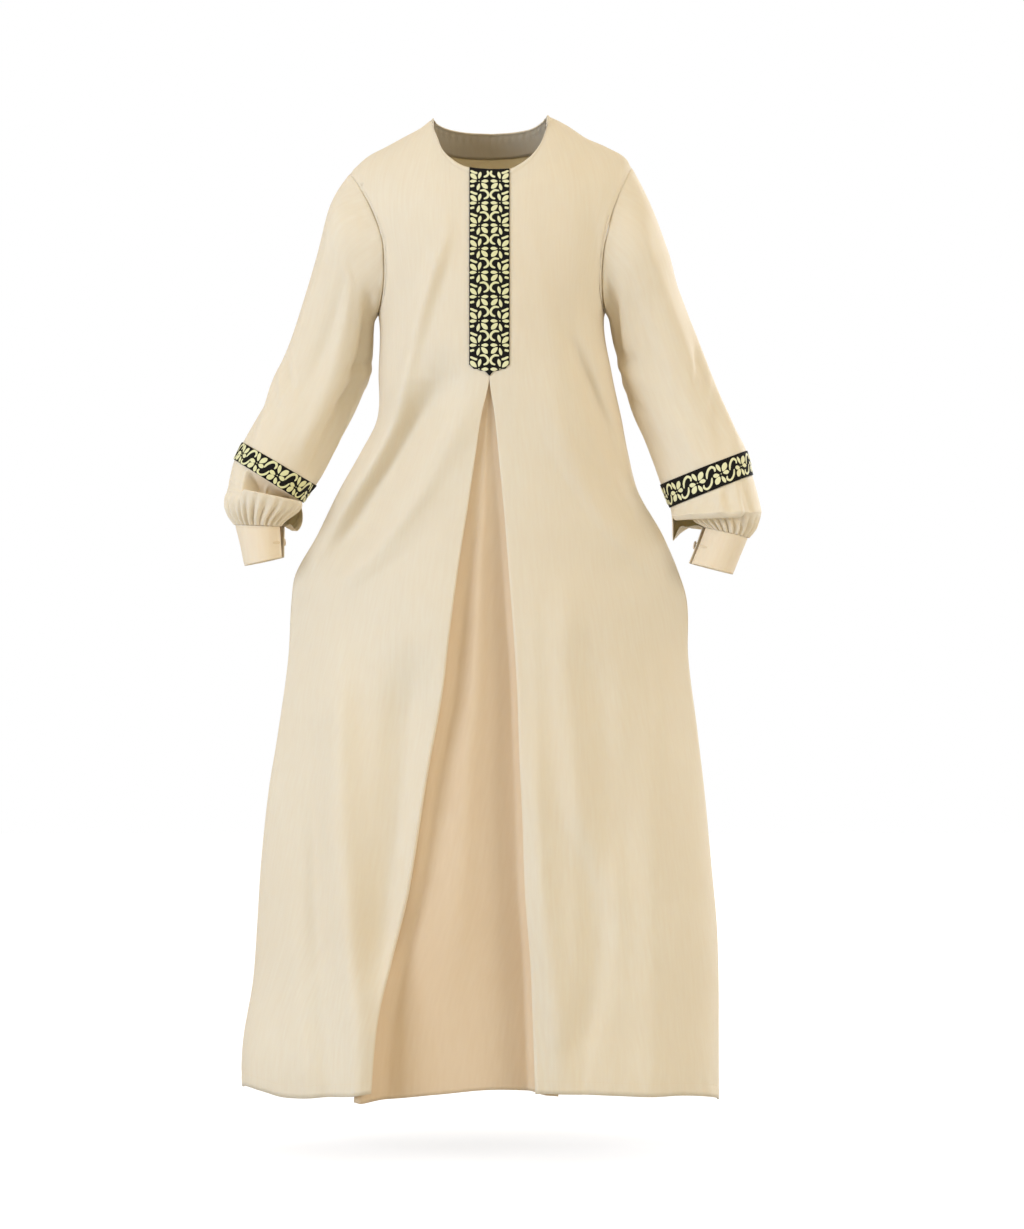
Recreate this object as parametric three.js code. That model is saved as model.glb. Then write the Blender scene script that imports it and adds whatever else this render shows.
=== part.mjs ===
// A girl's full-length abaya, worn and held out a little at each hip.
// Cream cloth, a round faced neck, a flowered ribbon down the front above an
// inverted box pleat, set-in sleeves with a ribbon band, gathered lower
// sleeves, and open buttoned cuffs.
//
// Millimetres, +Z up, the front faces -Y, +X is the wearer's left.
// The origin is the middle of the neck at the height of the shoulder points.
import * as THREE from 'three';

// ---------------------------------------------------------------- driving dimensions
const CLOTH_WALL = 2;
const GATHER_WALL = 1.5;
const TRIM_WALL = 1.2;
const FACING_WALL = 1;
const SEAM_GAP = 0.35;
const ARMHOLE_GAP = 0.9;
const LAY_GAP = 0.45;

const TRIM_HALF_WIDTH = 23;
const TRIM_COLUMN = TRIM_HALF_WIDTH / 2;
// The front ribbon's scalloped end, from the middle out to the side.
const TRIM_BOTTOM = [-310, -304, -305, -302, -298];
const PLEAT_TIP = -314;
const ARMHOLE_EASE = 15;
const ARMHOLE_MARGIN = 0.2;
const ARMPIT = { left: -232, right: -229 };
const FRONT_ROLL = 110;
const BACK_ROLL = 80;
const HEM_LEVEL = -1140;
const BUTTON = { radius: 5, thickness: 2.2, sides: 20, clear: 0.65 };

const GRID = {
  neck: 4,
  shoulder: 3,
  armhole: 8,
  frontRows: 27,
  backRows: 22,
  underlayColumns: 7,
  trimRows: 12,
  cuffColumns: 22,
  rowBias: 1.25,
};
const GATHERS = 24;
// How much one gather differs from the next, and where the vent begins to
// open and its under end to spring out, as shares of the way.
const GATHER_SHAPE = { uneven: 0.35, step: 2.4, opens: 0.3, springs: 0.75 };
const UNDERLAY_WAVE = { height: 0.15, waves: 2 };
// How a fold begins and ends: distances in millimetres along its height. One
// that ends below hemFolds runs on to the hem.
const FOLD_FADE = { before: 40, grow: 60, growLong: 120, after: 30, hemFolds: -1000 };

const COLOUR = {
  cloth: 0xe9dcc4,
  underlay: 0xdcc398,
  trim: 0x3a3b2a,
  button: 0xe6dccb,
};

// ---------------------------------------------------------------- tables
// Turns rows of numbers into objects with named columns.
function table(columns, rows) {
  return rows.map((row) => Object.fromEntries(columns.map((name, i) => [name, row[i]])));
}

// The body's section at each height: half widths, depths before and behind
// the shoulder line, and how pointed each side is (1 round, 2 a sharp lens).
const BODY = table(['z', 'left', 'right', 'front', 'back', 'leftLens', 'rightLens'], [
  [40, 205, 205, 50, 56, 1, 1],
  [0, 197, 199, 66, 62, 1, 1],
  [-60, 188, 190, 86, 72, 1, 1],
  [-120, 167, 172, 98, 82, 1, 1],
  [-180, 147, 152, 106, 87, 1, 1],
  [-232, 131, 134.5, 109, 87, 1, 1],
  [-300, 131, 143, 108, 82, 1, 1],
  [-355, 133, 155, 106, 80, 1.1, 1.1],
  [-391, 151, 162, 106, 83, 1.3, 1.2],
  [-440, 179, 175, 106, 88, 1.5, 1.4],
  [-490, 204, 204, 107, 93, 1.8, 1.7],
  [-538, 230, 224, 109, 97, 2, 2],
  [-565, 234, 232, 111, 99, 2, 2],
  [-633, 238, 234, 115, 105, 1.9, 1.9],
  [-720, 250, 245, 121, 113, 1.7, 1.7],
  [-790, 261, 253, 127, 120, 1.5, 1.5],
  [-880, 270, 261, 134, 128, 1.35, 1.35],
  [-947, 274, 267, 139, 134, 1.25, 1.25],
  [-1015, 279, 269, 143, 139, 1.15, 1.15],
  [-1082, 290, 269, 148, 144, 1.05, 1.05],
  [-1118, 292, 269, 151, 147, 1, 1],
  [-1170, 288, 269, 153, 150, 1, 1],
]);

// Shoulder line: height over the distance from the middle.
const SHOULDER = {
  left: table(['x', 'z'], [
    [0, 14], [67, -1], [80, -11], [100, -22], [122, -34], [146, -47], [165, -65], [200, -100],
  ]),
  right: table(['x', 'z'], [
    [0, 16], [67, 2.5], [91, -9], [113, -23.5], [139, -35], [164, -52], [167, -58], [200, -95],
  ]),
};

// Neck edges from the middle out to the shoulder line.
const NECK_FRONT = {
  left: table(['x', 'z'], [
    [0, -71], [19, -69], [30, -66], [40, -60], [54, -46], [61, -29], [68, -6], [67, -1],
  ]),
  right: table(['x', 'z'], [
    [0, -71], [19, -70.5], [25, -69.5], [36, -63], [48, -53], [60, -35], [65, -20], [69.5, -3], [67, 2.5],
  ]),
};
const NECK_BACK = {
  left: table(['x', 'z'], [[0, -12], [30, -11], [50, -8], [62, -4], [67, -1]]),
  right: table(['x', 'z'], [[0, -12], [30, -10.5], [50, -7], [62, -1], [67, 2.5]]),
};

// Armhole seams from the shoulder point down to the underarm.
const ARMHOLE = {
  left: table(['x', 'z'], [
    [165, -65], [154, -82], [143, -102], [133, -124], [125, -148], [123, -175],
    [124, -203], [128, -222], [131, -232],
  ]),
  right: table(['x', 'z'], [
    [167, -58], [159, -76], [151, -94], [140, -126], [134, -153], [131, -180],
    [131, -205], [133, -220], [134.5, -229],
  ]),
};

// Hem height across the front and the back.
const HEM_FRONT = table(['x', 'z'], [
  [-295, -1139], [-234, -1134], [-185, -1136], [-136, -1140], [-60, -1134], [0, -1128],
  [54, -1130], [110, -1135], [160, -1138], [215, -1145], [270, -1154],
]);
const HEM_BACK = table(['x', 'z'], [[-295, -1139], [-150, -1144], [0, -1146], [150, -1150], [270, -1154]]);

// The two folded edges of the box pleat, and how far the underlay lies behind.
const PLEAT = table(['z', 'left', 'right', 'depth'], [
  [-290, 0, 0, 1], [-314, 0, 0, 2], [-356, 9, 6, 6], [-415, 18, 12, 10], [-467, 26, 17, 13],
  [-530, 36, 22, 16], [-621, 48, 29, 19], [-670, 54, 32, 21], [-749, 69, 34, 23],
  [-827, 82, 37, 25], [-905, 95, 40, 27], [-979, 112, 46, 29], [-1043, 125, 49, 31],
  [-1136, 133, 53, 34], [-1170, 136, 55, 35],
]);

// Largest folds. A ridge has a positive height and a trough a negative one.
// Each runs through two or three places and fades out at both ends.
const FRONT_FOLDS = table(['height', 'spread', 'x1', 'z1', 'x2', 'z2', 'x3', 'z3'], [
  [7, 15, -57, -153, -100, -275, -128, -352],
  [-11, 14, -88, -363, -151, -434, -214, -526],
  [9, 13, -98, -335, -150, -398, -222, -505],
  [8, 15, -92, -395, -152, -466, -218, -545],
  [-6, 11, -72, -380, -112, -425, -160, -500],
  [-10, 14, 64, -303, 107, -351, 200, -520],
  [8, 13, 82, -285, 128, -338, 206, -490],
  [9, 15, 60, -330, 112, -410, 205, -555],
  [-5, 10, 118, -119, 124, -180, 128, -238],
  [8, 22, -214, -590, -180, -760, -176, -1010],
  [-8, 22, -196, -640, -232, -850, -240, -1120],
  [7, 20, -110, -640, -118, -840, -170, -1120],
  [-6, 20, -150, -680, -140, -880, -205, -1130],
  [8, 24, 214, -590, 176, -760, 168, -1060],
  [-8, 24, 120, -620, 118, -850, 116, -1130],
  [-7, 22, 205, -680, 218, -880, 222, -1130],
  [5, 20, 76, -560, 78, -820, 84, -1130],
]);
const BACK_FOLDS = table(['height', 'spread', 'x1', 'z1', 'x2', 'z2', 'x3', 'z3'], [
  [-9, 15, -70, -330, -140, -440, -212, -540],
  [9, 14, -84, -300, -150, -400, -218, -505],
  [9, 15, -58, -370, -128, -480, -206, -560],
  [-9, 15, 76, -310, 136, -425, 208, -540],
  [9, 14, 92, -280, 146, -390, 208, -500],
  [9, 15, 60, -355, 124, -470, 204, -562],
  [8, 18, -20, -150, -34, -300, -30, -460],
  [-6, 16, 22, -170, 26, -320, 16, -470],
  [10, 24, -206, -600, -170, -800, -176, -1120],
  [-9, 22, -130, -600, -112, -850, -112, -1130],
  [9, 24, -58, -520, -50, -820, -44, -1130],
  [-9, 22, 2, -520, 8, -820, 16, -1130],
  [10, 24, 66, -540, 70, -830, 80, -1130],
  [-9, 22, 134, -600, 132, -850, 142, -1130],
  [10, 24, 204, -610, 190, -800, 204, -1120],
]);

// Sleeve sections below the armhole: the outer and the inner edge, the depth's
// middle and half the depth. The ribbon band lies between the last two.
const SLEEVE_COLUMNS = ['outerX', 'outerZ', 'innerX', 'innerZ', 'middleY', 'halfDepth'];
const SLEEVE = {
  left: table(SLEEVE_COLUMNS, [
    [187, -101, 135.5, -239, -3, 55],
    [204, -161, 136.5, -252, 3, 54],
    [217, -205, 137, -270, 9, 53],
    [235, -260, 141, -298, 13, 52],
    [252, -300, 158, -342, 13, 51],
    [269, -340, 180, -384, 9, 50],
    [290, -381, 206, -430, 1, 50],
    [300, -402, 220, -452, -4, 49],
  ]),
  right: table(SLEEVE_COLUMNS, [
    [189, -103, 139.5, -236, -3, 55],
    [209, -155, 142, -250, 3, 54],
    [220, -194, 146, -268, 9, 53],
    [238, -248, 154, -298, 13, 52],
    [262, -309, 168, -346, 13, 51],
    [284, -356, 185, -386, 9, 50],
    [301, -391, 201, -430, 1, 50],
    [308, -420, 212, -458, -4, 49],
  ]),
};

// Gathered lower sleeve, from the band to the cuff, with the gathers' height.
const LOWER_COLUMNS = [...SLEEVE_COLUMNS, 'gather'];
const LOWER_SLEEVE = {
  left: table(LOWER_COLUMNS, [
    [300, -402, 220, -452, -4, 49, 0],
    [306, -424, 221, -457, -6, 48, 0.5],
    [310, -446, 224, -463, -9, 46, 1.5],
    [308, -460, 231, -469, -11, 41, 2],
    [303, -471, 239, -475, -13, 34, 1.6],
    [298, -479, 244, -481, -15, 27, 0.9],
  ]),
  right: table(LOWER_COLUMNS, [
    [308, -420, 212, -458, -4, 49, 0],
    [316, -447, 214, -468, -7, 50, 0.4],
    [319, -464, 220, -474, -10, 47, 1.3],
    [316, -478, 232, -476.5, -12, 38, 2],
    [309, -487, 243, -478.5, -14, 31, 1.6],
    [302, -494, 251, -482, -15, 26, 0.9],
  ]),
};

const CUFF = {
  left: table(SLEEVE_COLUMNS, [
    [298, -479, 244, -481, -15, 26],
    [292, -503, 243, -499, -16, 25],
    [287, -527, 242, -517, -17, 24],
  ]),
  right: table(SLEEVE_COLUMNS, [
    [302, -494, 251, -482, -15, 26],
    [293, -515, 243, -503, -16, 25],
    [284, -537, 234.5, -524, -17, 24],
  ]),
};

// Places round a lower sleeve and cuff, in degrees: 0 is the outer edge, 90
// the front, 180 the inner edge. The cuff stands open between its two ends.
const VENT = { closed: 172, frontEnd: 160, backEnd: -172, spring: 0.16 };
const BUTTON_PLACE = { left: -152, right: -164 };

// ---------------------------------------------------------------- small functions
const SIGN = { left: -1, right: 1 };
const UP = new THREE.Vector3(0, 0, 1);

function mix(a, b, t) {
  return a + (b - a) * t;
}

function clamp01(t) {
  return Math.min(1, Math.max(0, t));
}

function smooth(from, to, value) {
  const t = clamp01((value - from) / (to - from));
  return t * t * (3 - 2 * t);
}

// Reads one column of a table at a key, along a smooth curve through its rows.
function read(rows, key, column, value) {
  const rising = rows[1][key] > rows[0][key] ? 1 : -1;
  const last = rows.length - 1;
  let i = 0;
  while (i < last - 1 && (value - rows[i + 1][key]) * rising > 0) {
    i += 1;
  }
  const a = rows[i];
  const b = rows[i + 1];
  const span = b[key] - a[key];
  const t = clamp01((value - a[key]) / span);
  const slope = (from, to) => (to[column] - from[column]) / (to[key] - from[key]);
  const here = slope(a, b);
  const before = i > 0 ? (slope(rows[i - 1], a) + here) / 2 : here;
  const after = i < last - 1 ? (slope(b, rows[i + 2]) + here) / 2 : here;
  const t2 = t * t;
  const t3 = t2 * t;
  return (2 * t3 - 3 * t2 + 1) * a[column] + (t3 - 2 * t2 + t) * span * before
    + (3 * t2 - 2 * t3) * b[column] + (t3 - t2) * span * after;
}

// A place part of the way along a table of x and z rows, by length.
function along(rows, fraction) {
  const lengths = rows.slice(1).map((row, i) => Math.hypot(row.x - rows[i].x, row.z - rows[i].z));
  let rest = fraction * lengths.reduce((sum, length) => sum + length, 0);
  let i = 0;
  while (i < lengths.length - 1 && rest > lengths[i]) {
    rest -= lengths[i];
    i += 1;
  }
  const t = Math.min(1, rest / lengths[i]);
  return { x: mix(rows[i].x, rows[i + 1].x, t), z: mix(rows[i].z, rows[i + 1].z, t) };
}

// The part of a table of x and z rows that lies beyond a distance x.
function beyond(rows, x) {
  return [{ x, z: read(rows, 'x', 'z', x) }, ...rows.filter((row, i) => row.x > x && i > 0)];
}

// ---------------------------------------------------------------- body surfaces
function sideOf(x) {
  return x < 0 ? 'left' : 'right';
}

function foldHeight(folds, x, z) {
  const { before, grow, growLong, after, hemFolds } = FOLD_FADE;
  let height = 0;
  for (const fold of folds) {
    const reach = clamp01((z - fold.z1) / (fold.z3 - fold.z1));
    const bend = (1 - reach) * reach * 2;
    const middle = mix(fold.x1, fold.x3, reach) + bend * (2 * fold.x2 - fold.x1 - fold.x3);
    const lean = Math.hypot(1, (fold.x3 - fold.x1) / (fold.z3 - fold.z1));
    const away = (x - middle) / lean / fold.spread;
    const toHem = fold.z3 < hemFolds;
    const start = smooth(fold.z1 + before, fold.z1 - (toHem ? growLong : grow), z);
    const end = toHem ? 1 : smooth(fold.z3 - after, fold.z3 + grow, z);
    height += fold.height * start * end * Math.exp(-away * away);
  }
  return height;
}

// How far the cloth stands before (front) or behind (back) the shoulder line.
function depthAt(face, x, z) {
  const side = sideOf(x);
  const out = Math.abs(x);
  const width = read(BODY, 'z', side, z);
  const lens = read(BODY, 'z', `${side}Lens`, z);
  const reach = Math.min(0.9999, out / width);
  const round = (1 - reach * reach) ** (lens / 2);
  const below = Math.max(0.02, read(SHOULDER[side], 'x', 'z', out) - z);
  const roll = Math.min(1, below / (face === 'front' ? FRONT_ROLL : BACK_ROLL));
  const over = Math.sqrt(1 - (1 - roll) ** 2);
  const folds = foldHeight(face === 'front' ? FRONT_FOLDS : BACK_FOLDS, x, z);
  return read(BODY, 'z', face, z) * round * over + folds * (1 - reach ** 6) * over;
}

function bodyPoint(face, x, z) {
  const depth = depthAt(face, x, z);
  return new THREE.Vector3(x, face === 'front' ? -depth : depth, z);
}

function bodyNormal(face, x, z) {
  const step = 1.5;
  const slopeX = (depthAt(face, x + step, z) - depthAt(face, x - step, z)) / (2 * step);
  const slopeZ = (depthAt(face, x, z + step) - depthAt(face, x, z - step)) / (2 * step);
  return new THREE.Vector3(-slopeX, face === 'front' ? -1 : 1, -slopeZ).normalize();
}

// Across the shoulder seam the front and the back share one direction.
function shoulderNormal(side, x) {
  const step = 3;
  const line = SHOULDER[side];
  const slope = (read(line, 'x', 'z', x + step) - read(line, 'x', 'z', x - step)) / (2 * step);
  return new THREE.Vector3(-slope * SIGN[side], 0, 1).normalize();
}

// The armhole seam as a loop: shoulder point, front, underarm, back.
function armholeLoop(side) {
  const front = [];
  const back = [];
  for (let i = 0; i <= GRID.armhole; i += 1) {
    const place = along(ARMHOLE[side], i / GRID.armhole);
    const x = place.x * SIGN[side];
    const seam = i === 0 || i === GRID.armhole;
    front.push(seam ? new THREE.Vector3(x, 0, place.z) : bodyPoint('front', x, place.z));
    back.push(seam ? new THREE.Vector3(x, 0, place.z) : bodyPoint('back', x, place.z));
  }
  const points = [...front, ...back.slice(1, -1).reverse()];
  const centre = new THREE.Vector3();
  points.forEach((point) => centre.addScaledVector(point, 1 / points.length));
  const normals = points.map((point, i) => {
    const tangent = points[(i + 1) % points.length].clone();
    tangent.sub(points[(i + points.length - 1) % points.length]).normalize();
    const away = point.clone().sub(centre);
    away.addScaledVector(tangent, -away.dot(tangent));
    return away.normalize();
  });
  normals[0] = shoulderNormal(side, Math.abs(points[0].x));
  normals[GRID.armhole] = UP.clone().negate();
  return { points, normals };
}

const ARMHOLE_LOOP = { left: armholeLoop('left'), right: armholeLoop('right') };

// Top edge of a front or back half, from the middle to the underarm.
function topEdge(face, side) {
  const neck = (face === 'front' ? NECK_FRONT : NECK_BACK)[side];
  const edge = [0, TRIM_COLUMN].map((x) => ({ x, z: read(neck, 'x', 'z', x), kind: 'neck' }));
  const rest = beyond(neck, TRIM_HALF_WIDTH);
  for (let i = 0; i < GRID.neck; i += 1) {
    edge.push({ ...along(rest, i / GRID.neck), kind: 'neck' });
  }
  const neckX = neck[neck.length - 1].x;
  const tip = ARMHOLE[side][0];
  for (let i = 0; i < GRID.shoulder; i += 1) {
    const x = mix(neckX, tip.x, i / GRID.shoulder);
    edge.push({ x, z: read(SHOULDER[side], 'x', 'z', x), kind: 'shoulder' });
  }
  for (let i = 0; i <= GRID.armhole; i += 1) {
    edge.push({ ...along(ARMHOLE[side], i / GRID.armhole), kind: 'armhole', index: i });
  }
  return edge;
}

// Distance from the middle of a column at a height, below its top edge.
function columnX(edge, column, side, z, middle) {
  const armpit = ARMPIT[side];
  const level = Math.min(z, armpit);
  const fixed = Math.min(column, 2) * TRIM_COLUMN;
  const width = read(BODY, 'z', side, level);
  const lens = read(BODY, 'z', `${side}Lens`, level);
  const turn = Math.max(0, column - 2) / (edge.length - 3);
  const round = Math.sin(turn * Math.PI / 2);
  const spread = mix(round, turn, clamp01(lens - 1));
  const start = middle + fixed;
  const settled = start + (width - start) * spread;
  if (z <= armpit) {
    return settled;
  }
  const t = clamp01((edge[column].z - z) / (edge[column].z - armpit));
  const inward = settled < edge[column].x;
  const path = mix(edge[column].x, settled, inward ? 1 - (1 - t) ** 2 : t ** 2);
  if (z > ARMHOLE[side][0].z || column < edge.length - 1 - GRID.armhole) {
    return path;
  }
  const clear = Math.min(ARMHOLE_EASE, edge[column].z - z, z - armpit) * ARMHOLE_MARGIN;
  return Math.min(path, read(ARMHOLE[side], 'z', 'x', z) - clear);
}

// ---------------------------------------------------------------- walls
// Makes one closed wall from rows of points, half its thickness to each side.
function wallMesh(name, rows, normals, wall, colour, wrap = false) {
  const columns = rows[0].length;
  const count = rows.length * columns;
  const positions = [];
  for (const offset of [wall / 2, -wall / 2]) {
    rows.forEach((row, r) => row.forEach((point, c) => {
      positions.push(...point.clone().addScaledVector(normals[r][c], offset).toArray());
    }));
  }
  const index = [];
  const quad = (a, b, c, d) => index.push(a, b, c, a, c, d);
  const at = (r, c) => r * columns + (c % columns);
  const spans = wrap ? columns : columns - 1;
  for (let r = 0; r < rows.length - 1; r += 1) {
    for (let c = 0; c < spans; c += 1) {
      const corners = [at(r, c), at(r + 1, c), at(r + 1, c + 1), at(r, c + 1)];
      const [a, b, d, e] = corners.map((i) => rows[Math.floor(i / columns)][i % columns]);
      if (b.distanceTo(e) < a.distanceTo(d)) {
        corners.push(corners.shift());
      }
      const [first, ...others] = corners.map((i) => count + i);
      quad(...corners);
      quad(first, ...others.reverse());
    }
  }
  const end = rows.length - 1;
  for (let c = 0; c < spans; c += 1) {
    quad(at(0, c), at(0, c + 1), count + at(0, c + 1), count + at(0, c));
    quad(at(end, c + 1), at(end, c), count + at(end, c), count + at(end, c + 1));
  }
  for (let r = 0; r < end && !wrap; r += 1) {
    quad(at(r + 1, 0), at(r, 0), count + at(r, 0), count + at(r + 1, 0));
    const edge = columns - 1;
    quad(at(r, edge), at(r + 1, edge), count + at(r + 1, edge), count + at(r, edge));
  }
  if (volumeOf(positions, index) < 0) {
    index.reverse();
  }
  const geometry = new THREE.BufferGeometry();
  geometry.setAttribute('position', new THREE.Float32BufferAttribute(positions, 3));
  geometry.setIndex(index);
  geometry.computeVertexNormals();
  const mesh = new THREE.Mesh(geometry, clothMaterial(colour));
  mesh.name = name;
  return mesh;
}

function volumeOf(positions, index) {
  const point = (i) => new THREE.Vector3().fromArray(positions, index[i] * 3);
  let volume = 0;
  for (let i = 0; i < index.length; i += 3) {
    volume += point(i).dot(point(i + 1).cross(point(i + 2)));
  }
  return volume;
}

function clothMaterial(colour) {
  return new THREE.MeshStandardMaterial({ color: colour, roughness: 0.75, metalness: 0 });
}

// Directions of a grid's surface, from its neighbours, away from an axis.
function gridNormals(rows, wrap, centreOf) {
  const columns = rows[0].length;
  return rows.map((row, r) => row.map((point, c) => {
    const next = wrap ? row[(c + 1) % columns] : row[Math.min(columns - 1, c + 1)];
    const last = wrap ? row[(c + columns - 1) % columns] : row[Math.max(0, c - 1)];
    const below = rows[Math.min(rows.length - 1, r + 1)][c];
    const above = rows[Math.max(0, r - 1)][c];
    const normal = next.clone().sub(last).cross(below.clone().sub(above)).normalize();
    return normal.dot(point.clone().sub(centreOf(r))) < 0 ? normal.negate() : normal;
  }));
}

// ---------------------------------------------------------------- body panels
// Rows of points and directions of one front or back half.
function bodyHalf(face, side, rowCount) {
  const edge = topEdge(face, side);
  const hem = face === 'front' ? HEM_FRONT : HEM_BACK;
  const toFace = face === 'front' ? -1 : 1;
  const last = edge.length - 1;
  const rows = [];
  const normals = [];
  for (let r = 0; r <= rowCount; r += 1) {
    const fall = (r / rowCount) ** GRID.rowBias;
    const points = [];
    const directions = [];
    edge.forEach((top, column) => {
      const hemWidth = read(BODY, 'z', side, HEM_LEVEL) * (column / last) * SIGN[side];
      const z = mix(top.z, read(hem, 'x', 'z', hemWidth), fall);
      const middle = face === 'front' ? read(PLEAT, 'z', side, Math.min(z, PLEAT_TIP)) : 0;
      const out = r === 0 ? top.x : columnX(edge, column, side, z, middle);
      let x = out * SIGN[side];
      if (face === 'front' && column === 0) {
        x += SIGN[side] * SEAM_GAP / 2;
      }
      const point = bodyPoint(face, x, z);
      let normal = bodyNormal(face, x, z);
      if (r === 0 && top.kind === 'shoulder') {
        point.y = 0;
        normal = shoulderNormal(side, top.x);
      }
      if (r === 0 && top.kind === 'armhole') {
        const loop = ARMHOLE_LOOP[side];
        const around = loop.points.length;
        const place = face === 'front' ? top.index : (around - top.index) % around;
        point.copy(loop.points[place]);
        normal = loop.normals[place].clone();
      }
      if (r > 0 && column === last) {
        point.y = 0;
        normal = new THREE.Vector3(SIGN[side], 0, 0);
      }
      const onSeam = column === last || (r === 0 && Math.abs(point.y) < SEAM_GAP);
      if (onSeam) {
        point.y = toFace * SEAM_GAP / 2;
      }
      points.push(point);
      directions.push(normal);
    });
    rows.push(points);
    normals.push(directions);
  }
  return { rows, normals };
}

const HALF = {
  front: {
    left: bodyHalf('front', 'left', GRID.frontRows),
    right: bodyHalf('front', 'right', GRID.frontRows),
  },
  back: {
    left: bodyHalf('back', 'left', GRID.backRows),
    right: bodyHalf('back', 'right', GRID.backRows),
  },
};

function frontPanel(side) {
  const { rows, normals } = HALF.front[side];
  return wallMesh(`front_${side}`, rows, normals, CLOTH_WALL, COLOUR.cloth);
}

function backPanel() {
  const { left, right } = HALF.back;
  const join = (key) => left[key].map((row, r) => [...row.slice(1).reverse(), ...right[key][r]]);
  return wallMesh('back', join('rows'), join('normals'), CLOTH_WALL, COLOUR.cloth);
}

// The cloth inside the box pleat. Behind each folded edge it is made from the
// panel's own points, moved in, and between them it sinks back.
function pleatUnderlay() {
  const { left, right } = HALF.front;
  const behind = CLOTH_WALL + LAY_GAP;
  const lap = [3, 2, 1];
  const firstRow = left.rows.findIndex((row) => row[0].z < PLEAT_TIP) - 1;
  const rows = [];
  const normals = [];
  for (let r = firstRow; r <= GRID.frontRows; r += 1) {
    const from = left.rows[r][1];
    const to = right.rows[r][1];
    const edge = (half, column) => ({ point: half.rows[r][column].clone(), normal: half.normals[r][column] });
    const inside = [];
    for (let i = 1; i < GRID.underlayColumns; i += 1) {
      const across = i / GRID.underlayColumns;
      const x = mix(from.x, to.x, across);
      const z = mix(from.z, to.z, across);
      const wave = Math.cos(across * Math.PI * 2 * UNDERLAY_WAVE.waves) - 1;
      const ripple = 1 + UNDERLAY_WAVE.height * wave;
      const near = Math.min(x - from.x, to.x - x);
      const depth = read(PLEAT, 'z', 'depth', Math.min(z, PLEAT[0].z));
      const point = bodyPoint('front', x, z);
      point.y += depth * smooth(0, TRIM_COLUMN + depth / 2, near) * ripple;
      inside.push({ point, normal: bodyNormal('front', x, z) });
    }
    const places = [
      ...lap.map((column) => edge(left, column)),
      ...inside,
      ...lap.toReversed().map((column) => edge(right, column)),
    ];
    rows.push(places.map(({ point, normal }) => point.addScaledVector(normal, -behind)));
    normals.push(places.map(({ normal }) => normal));
  }
  return wallMesh('pleat_underlay', rows, normals, CLOTH_WALL, COLOUR.underlay);
}

// A turned neck facing, made from the first rows of its panel, moved in.
function neckFacing(face) {
  const inward = CLOTH_WALL / 2 + LAY_GAP + FACING_WALL / 2;
  const neckColumns = GRID.neck + 3;
  const strip = (half, key) => half[key].slice(0, 2).map((row) => row.slice(0, neckColumns));
  const join = (key) => {
    const left = strip(HALF[face].left, key);
    const right = strip(HALF[face].right, key);
    return left.map((row, r) => [...row.slice(1).reverse(), ...right[r]]);
  };
  const normals = join('normals');
  const rows = join('rows').map((row, r) => row.map((point, c) => (
    point.clone().addScaledVector(normals[r][c], -inward)
  )));
  return wallMesh(`neck_facing_${face}`, rows, normals, FACING_WALL, COLOUR.cloth);
}

// The flowered ribbon down the front, with a pointed scalloped end.
function frontTrim() {
  const lift = CLOTH_WALL / 2 + LAY_GAP + TRIM_WALL / 2;
  const halfColumns = TRIM_BOTTOM.length - 1;
  const depths = Array.from({ length: GRID.trimRows }, (unused, i) => i / (GRID.trimRows - 1));
  const rows = [];
  const normals = [];
  for (const depth of depths) {
    const points = [];
    const directions = [];
    for (let c = -halfColumns; c <= halfColumns; c += 1) {
      const x = c / halfColumns * TRIM_HALF_WIDTH;
      const top = read(NECK_FRONT[sideOf(x)], 'x', 'z', Math.abs(x));
      const z = mix(top, TRIM_BOTTOM[Math.abs(c)], depth);
      const normal = bodyNormal('front', x, z);
      points.push(bodyPoint('front', x, z).addScaledVector(normal, lift));
      directions.push(normal);
    }
    rows.push(points);
    normals.push(directions);
  }
  return wallMesh('front_trim', rows, normals, TRIM_WALL, COLOUR.trim);
}

// ---------------------------------------------------------------- sleeves
// A section's middle, its directions to the outer edge and along the sleeve.
function sectionFrame(side, section) {
  const outer = new THREE.Vector3(section.outerX * SIGN[side], section.middleY, section.outerZ);
  const inner = new THREE.Vector3(section.innerX * SIGN[side], section.middleY, section.innerZ);
  const centre = outer.clone().add(inner).multiplyScalar(0.5);
  const across = outer.clone().sub(inner);
  const halfWidth = across.length() / 2;
  across.normalize();
  const forward = new THREE.Vector3(0, -1, 0);
  const down = across.clone().cross(forward).multiplyScalar(-SIGN[side]).normalize();
  if (down.z > 0) {
    down.negate();
  }
  return { centre, across, forward, down, halfWidth, halfDepth: section.halfDepth };
}

function sectionPoint(frame, degrees, swell = 0) {
  const turn = THREE.MathUtils.degToRad(degrees);
  return frame.centre.clone()
    .addScaledVector(frame.across, Math.cos(turn) * (frame.halfWidth + swell))
    .addScaledVector(frame.forward, Math.sin(turn) * (frame.halfDepth + swell));
}

function sectionNormal(frame, degrees) {
  const turn = THREE.MathUtils.degToRad(degrees);
  return new THREE.Vector3()
    .addScaledVector(frame.across, Math.cos(turn) / frame.halfWidth)
    .addScaledVector(frame.forward, Math.sin(turn) / frame.halfDepth)
    .normalize();
}

const RING = GRID.armhole * 2;

function ring(frame, shift = 0) {
  return Array.from({ length: RING }, (unused, i) => (
    sectionPoint(frame, i * 360 / RING).addScaledVector(frame.down, shift)
  ));
}

function ringNormals(frame) {
  return Array.from({ length: RING }, (unused, i) => sectionNormal(frame, i * 360 / RING));
}

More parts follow.
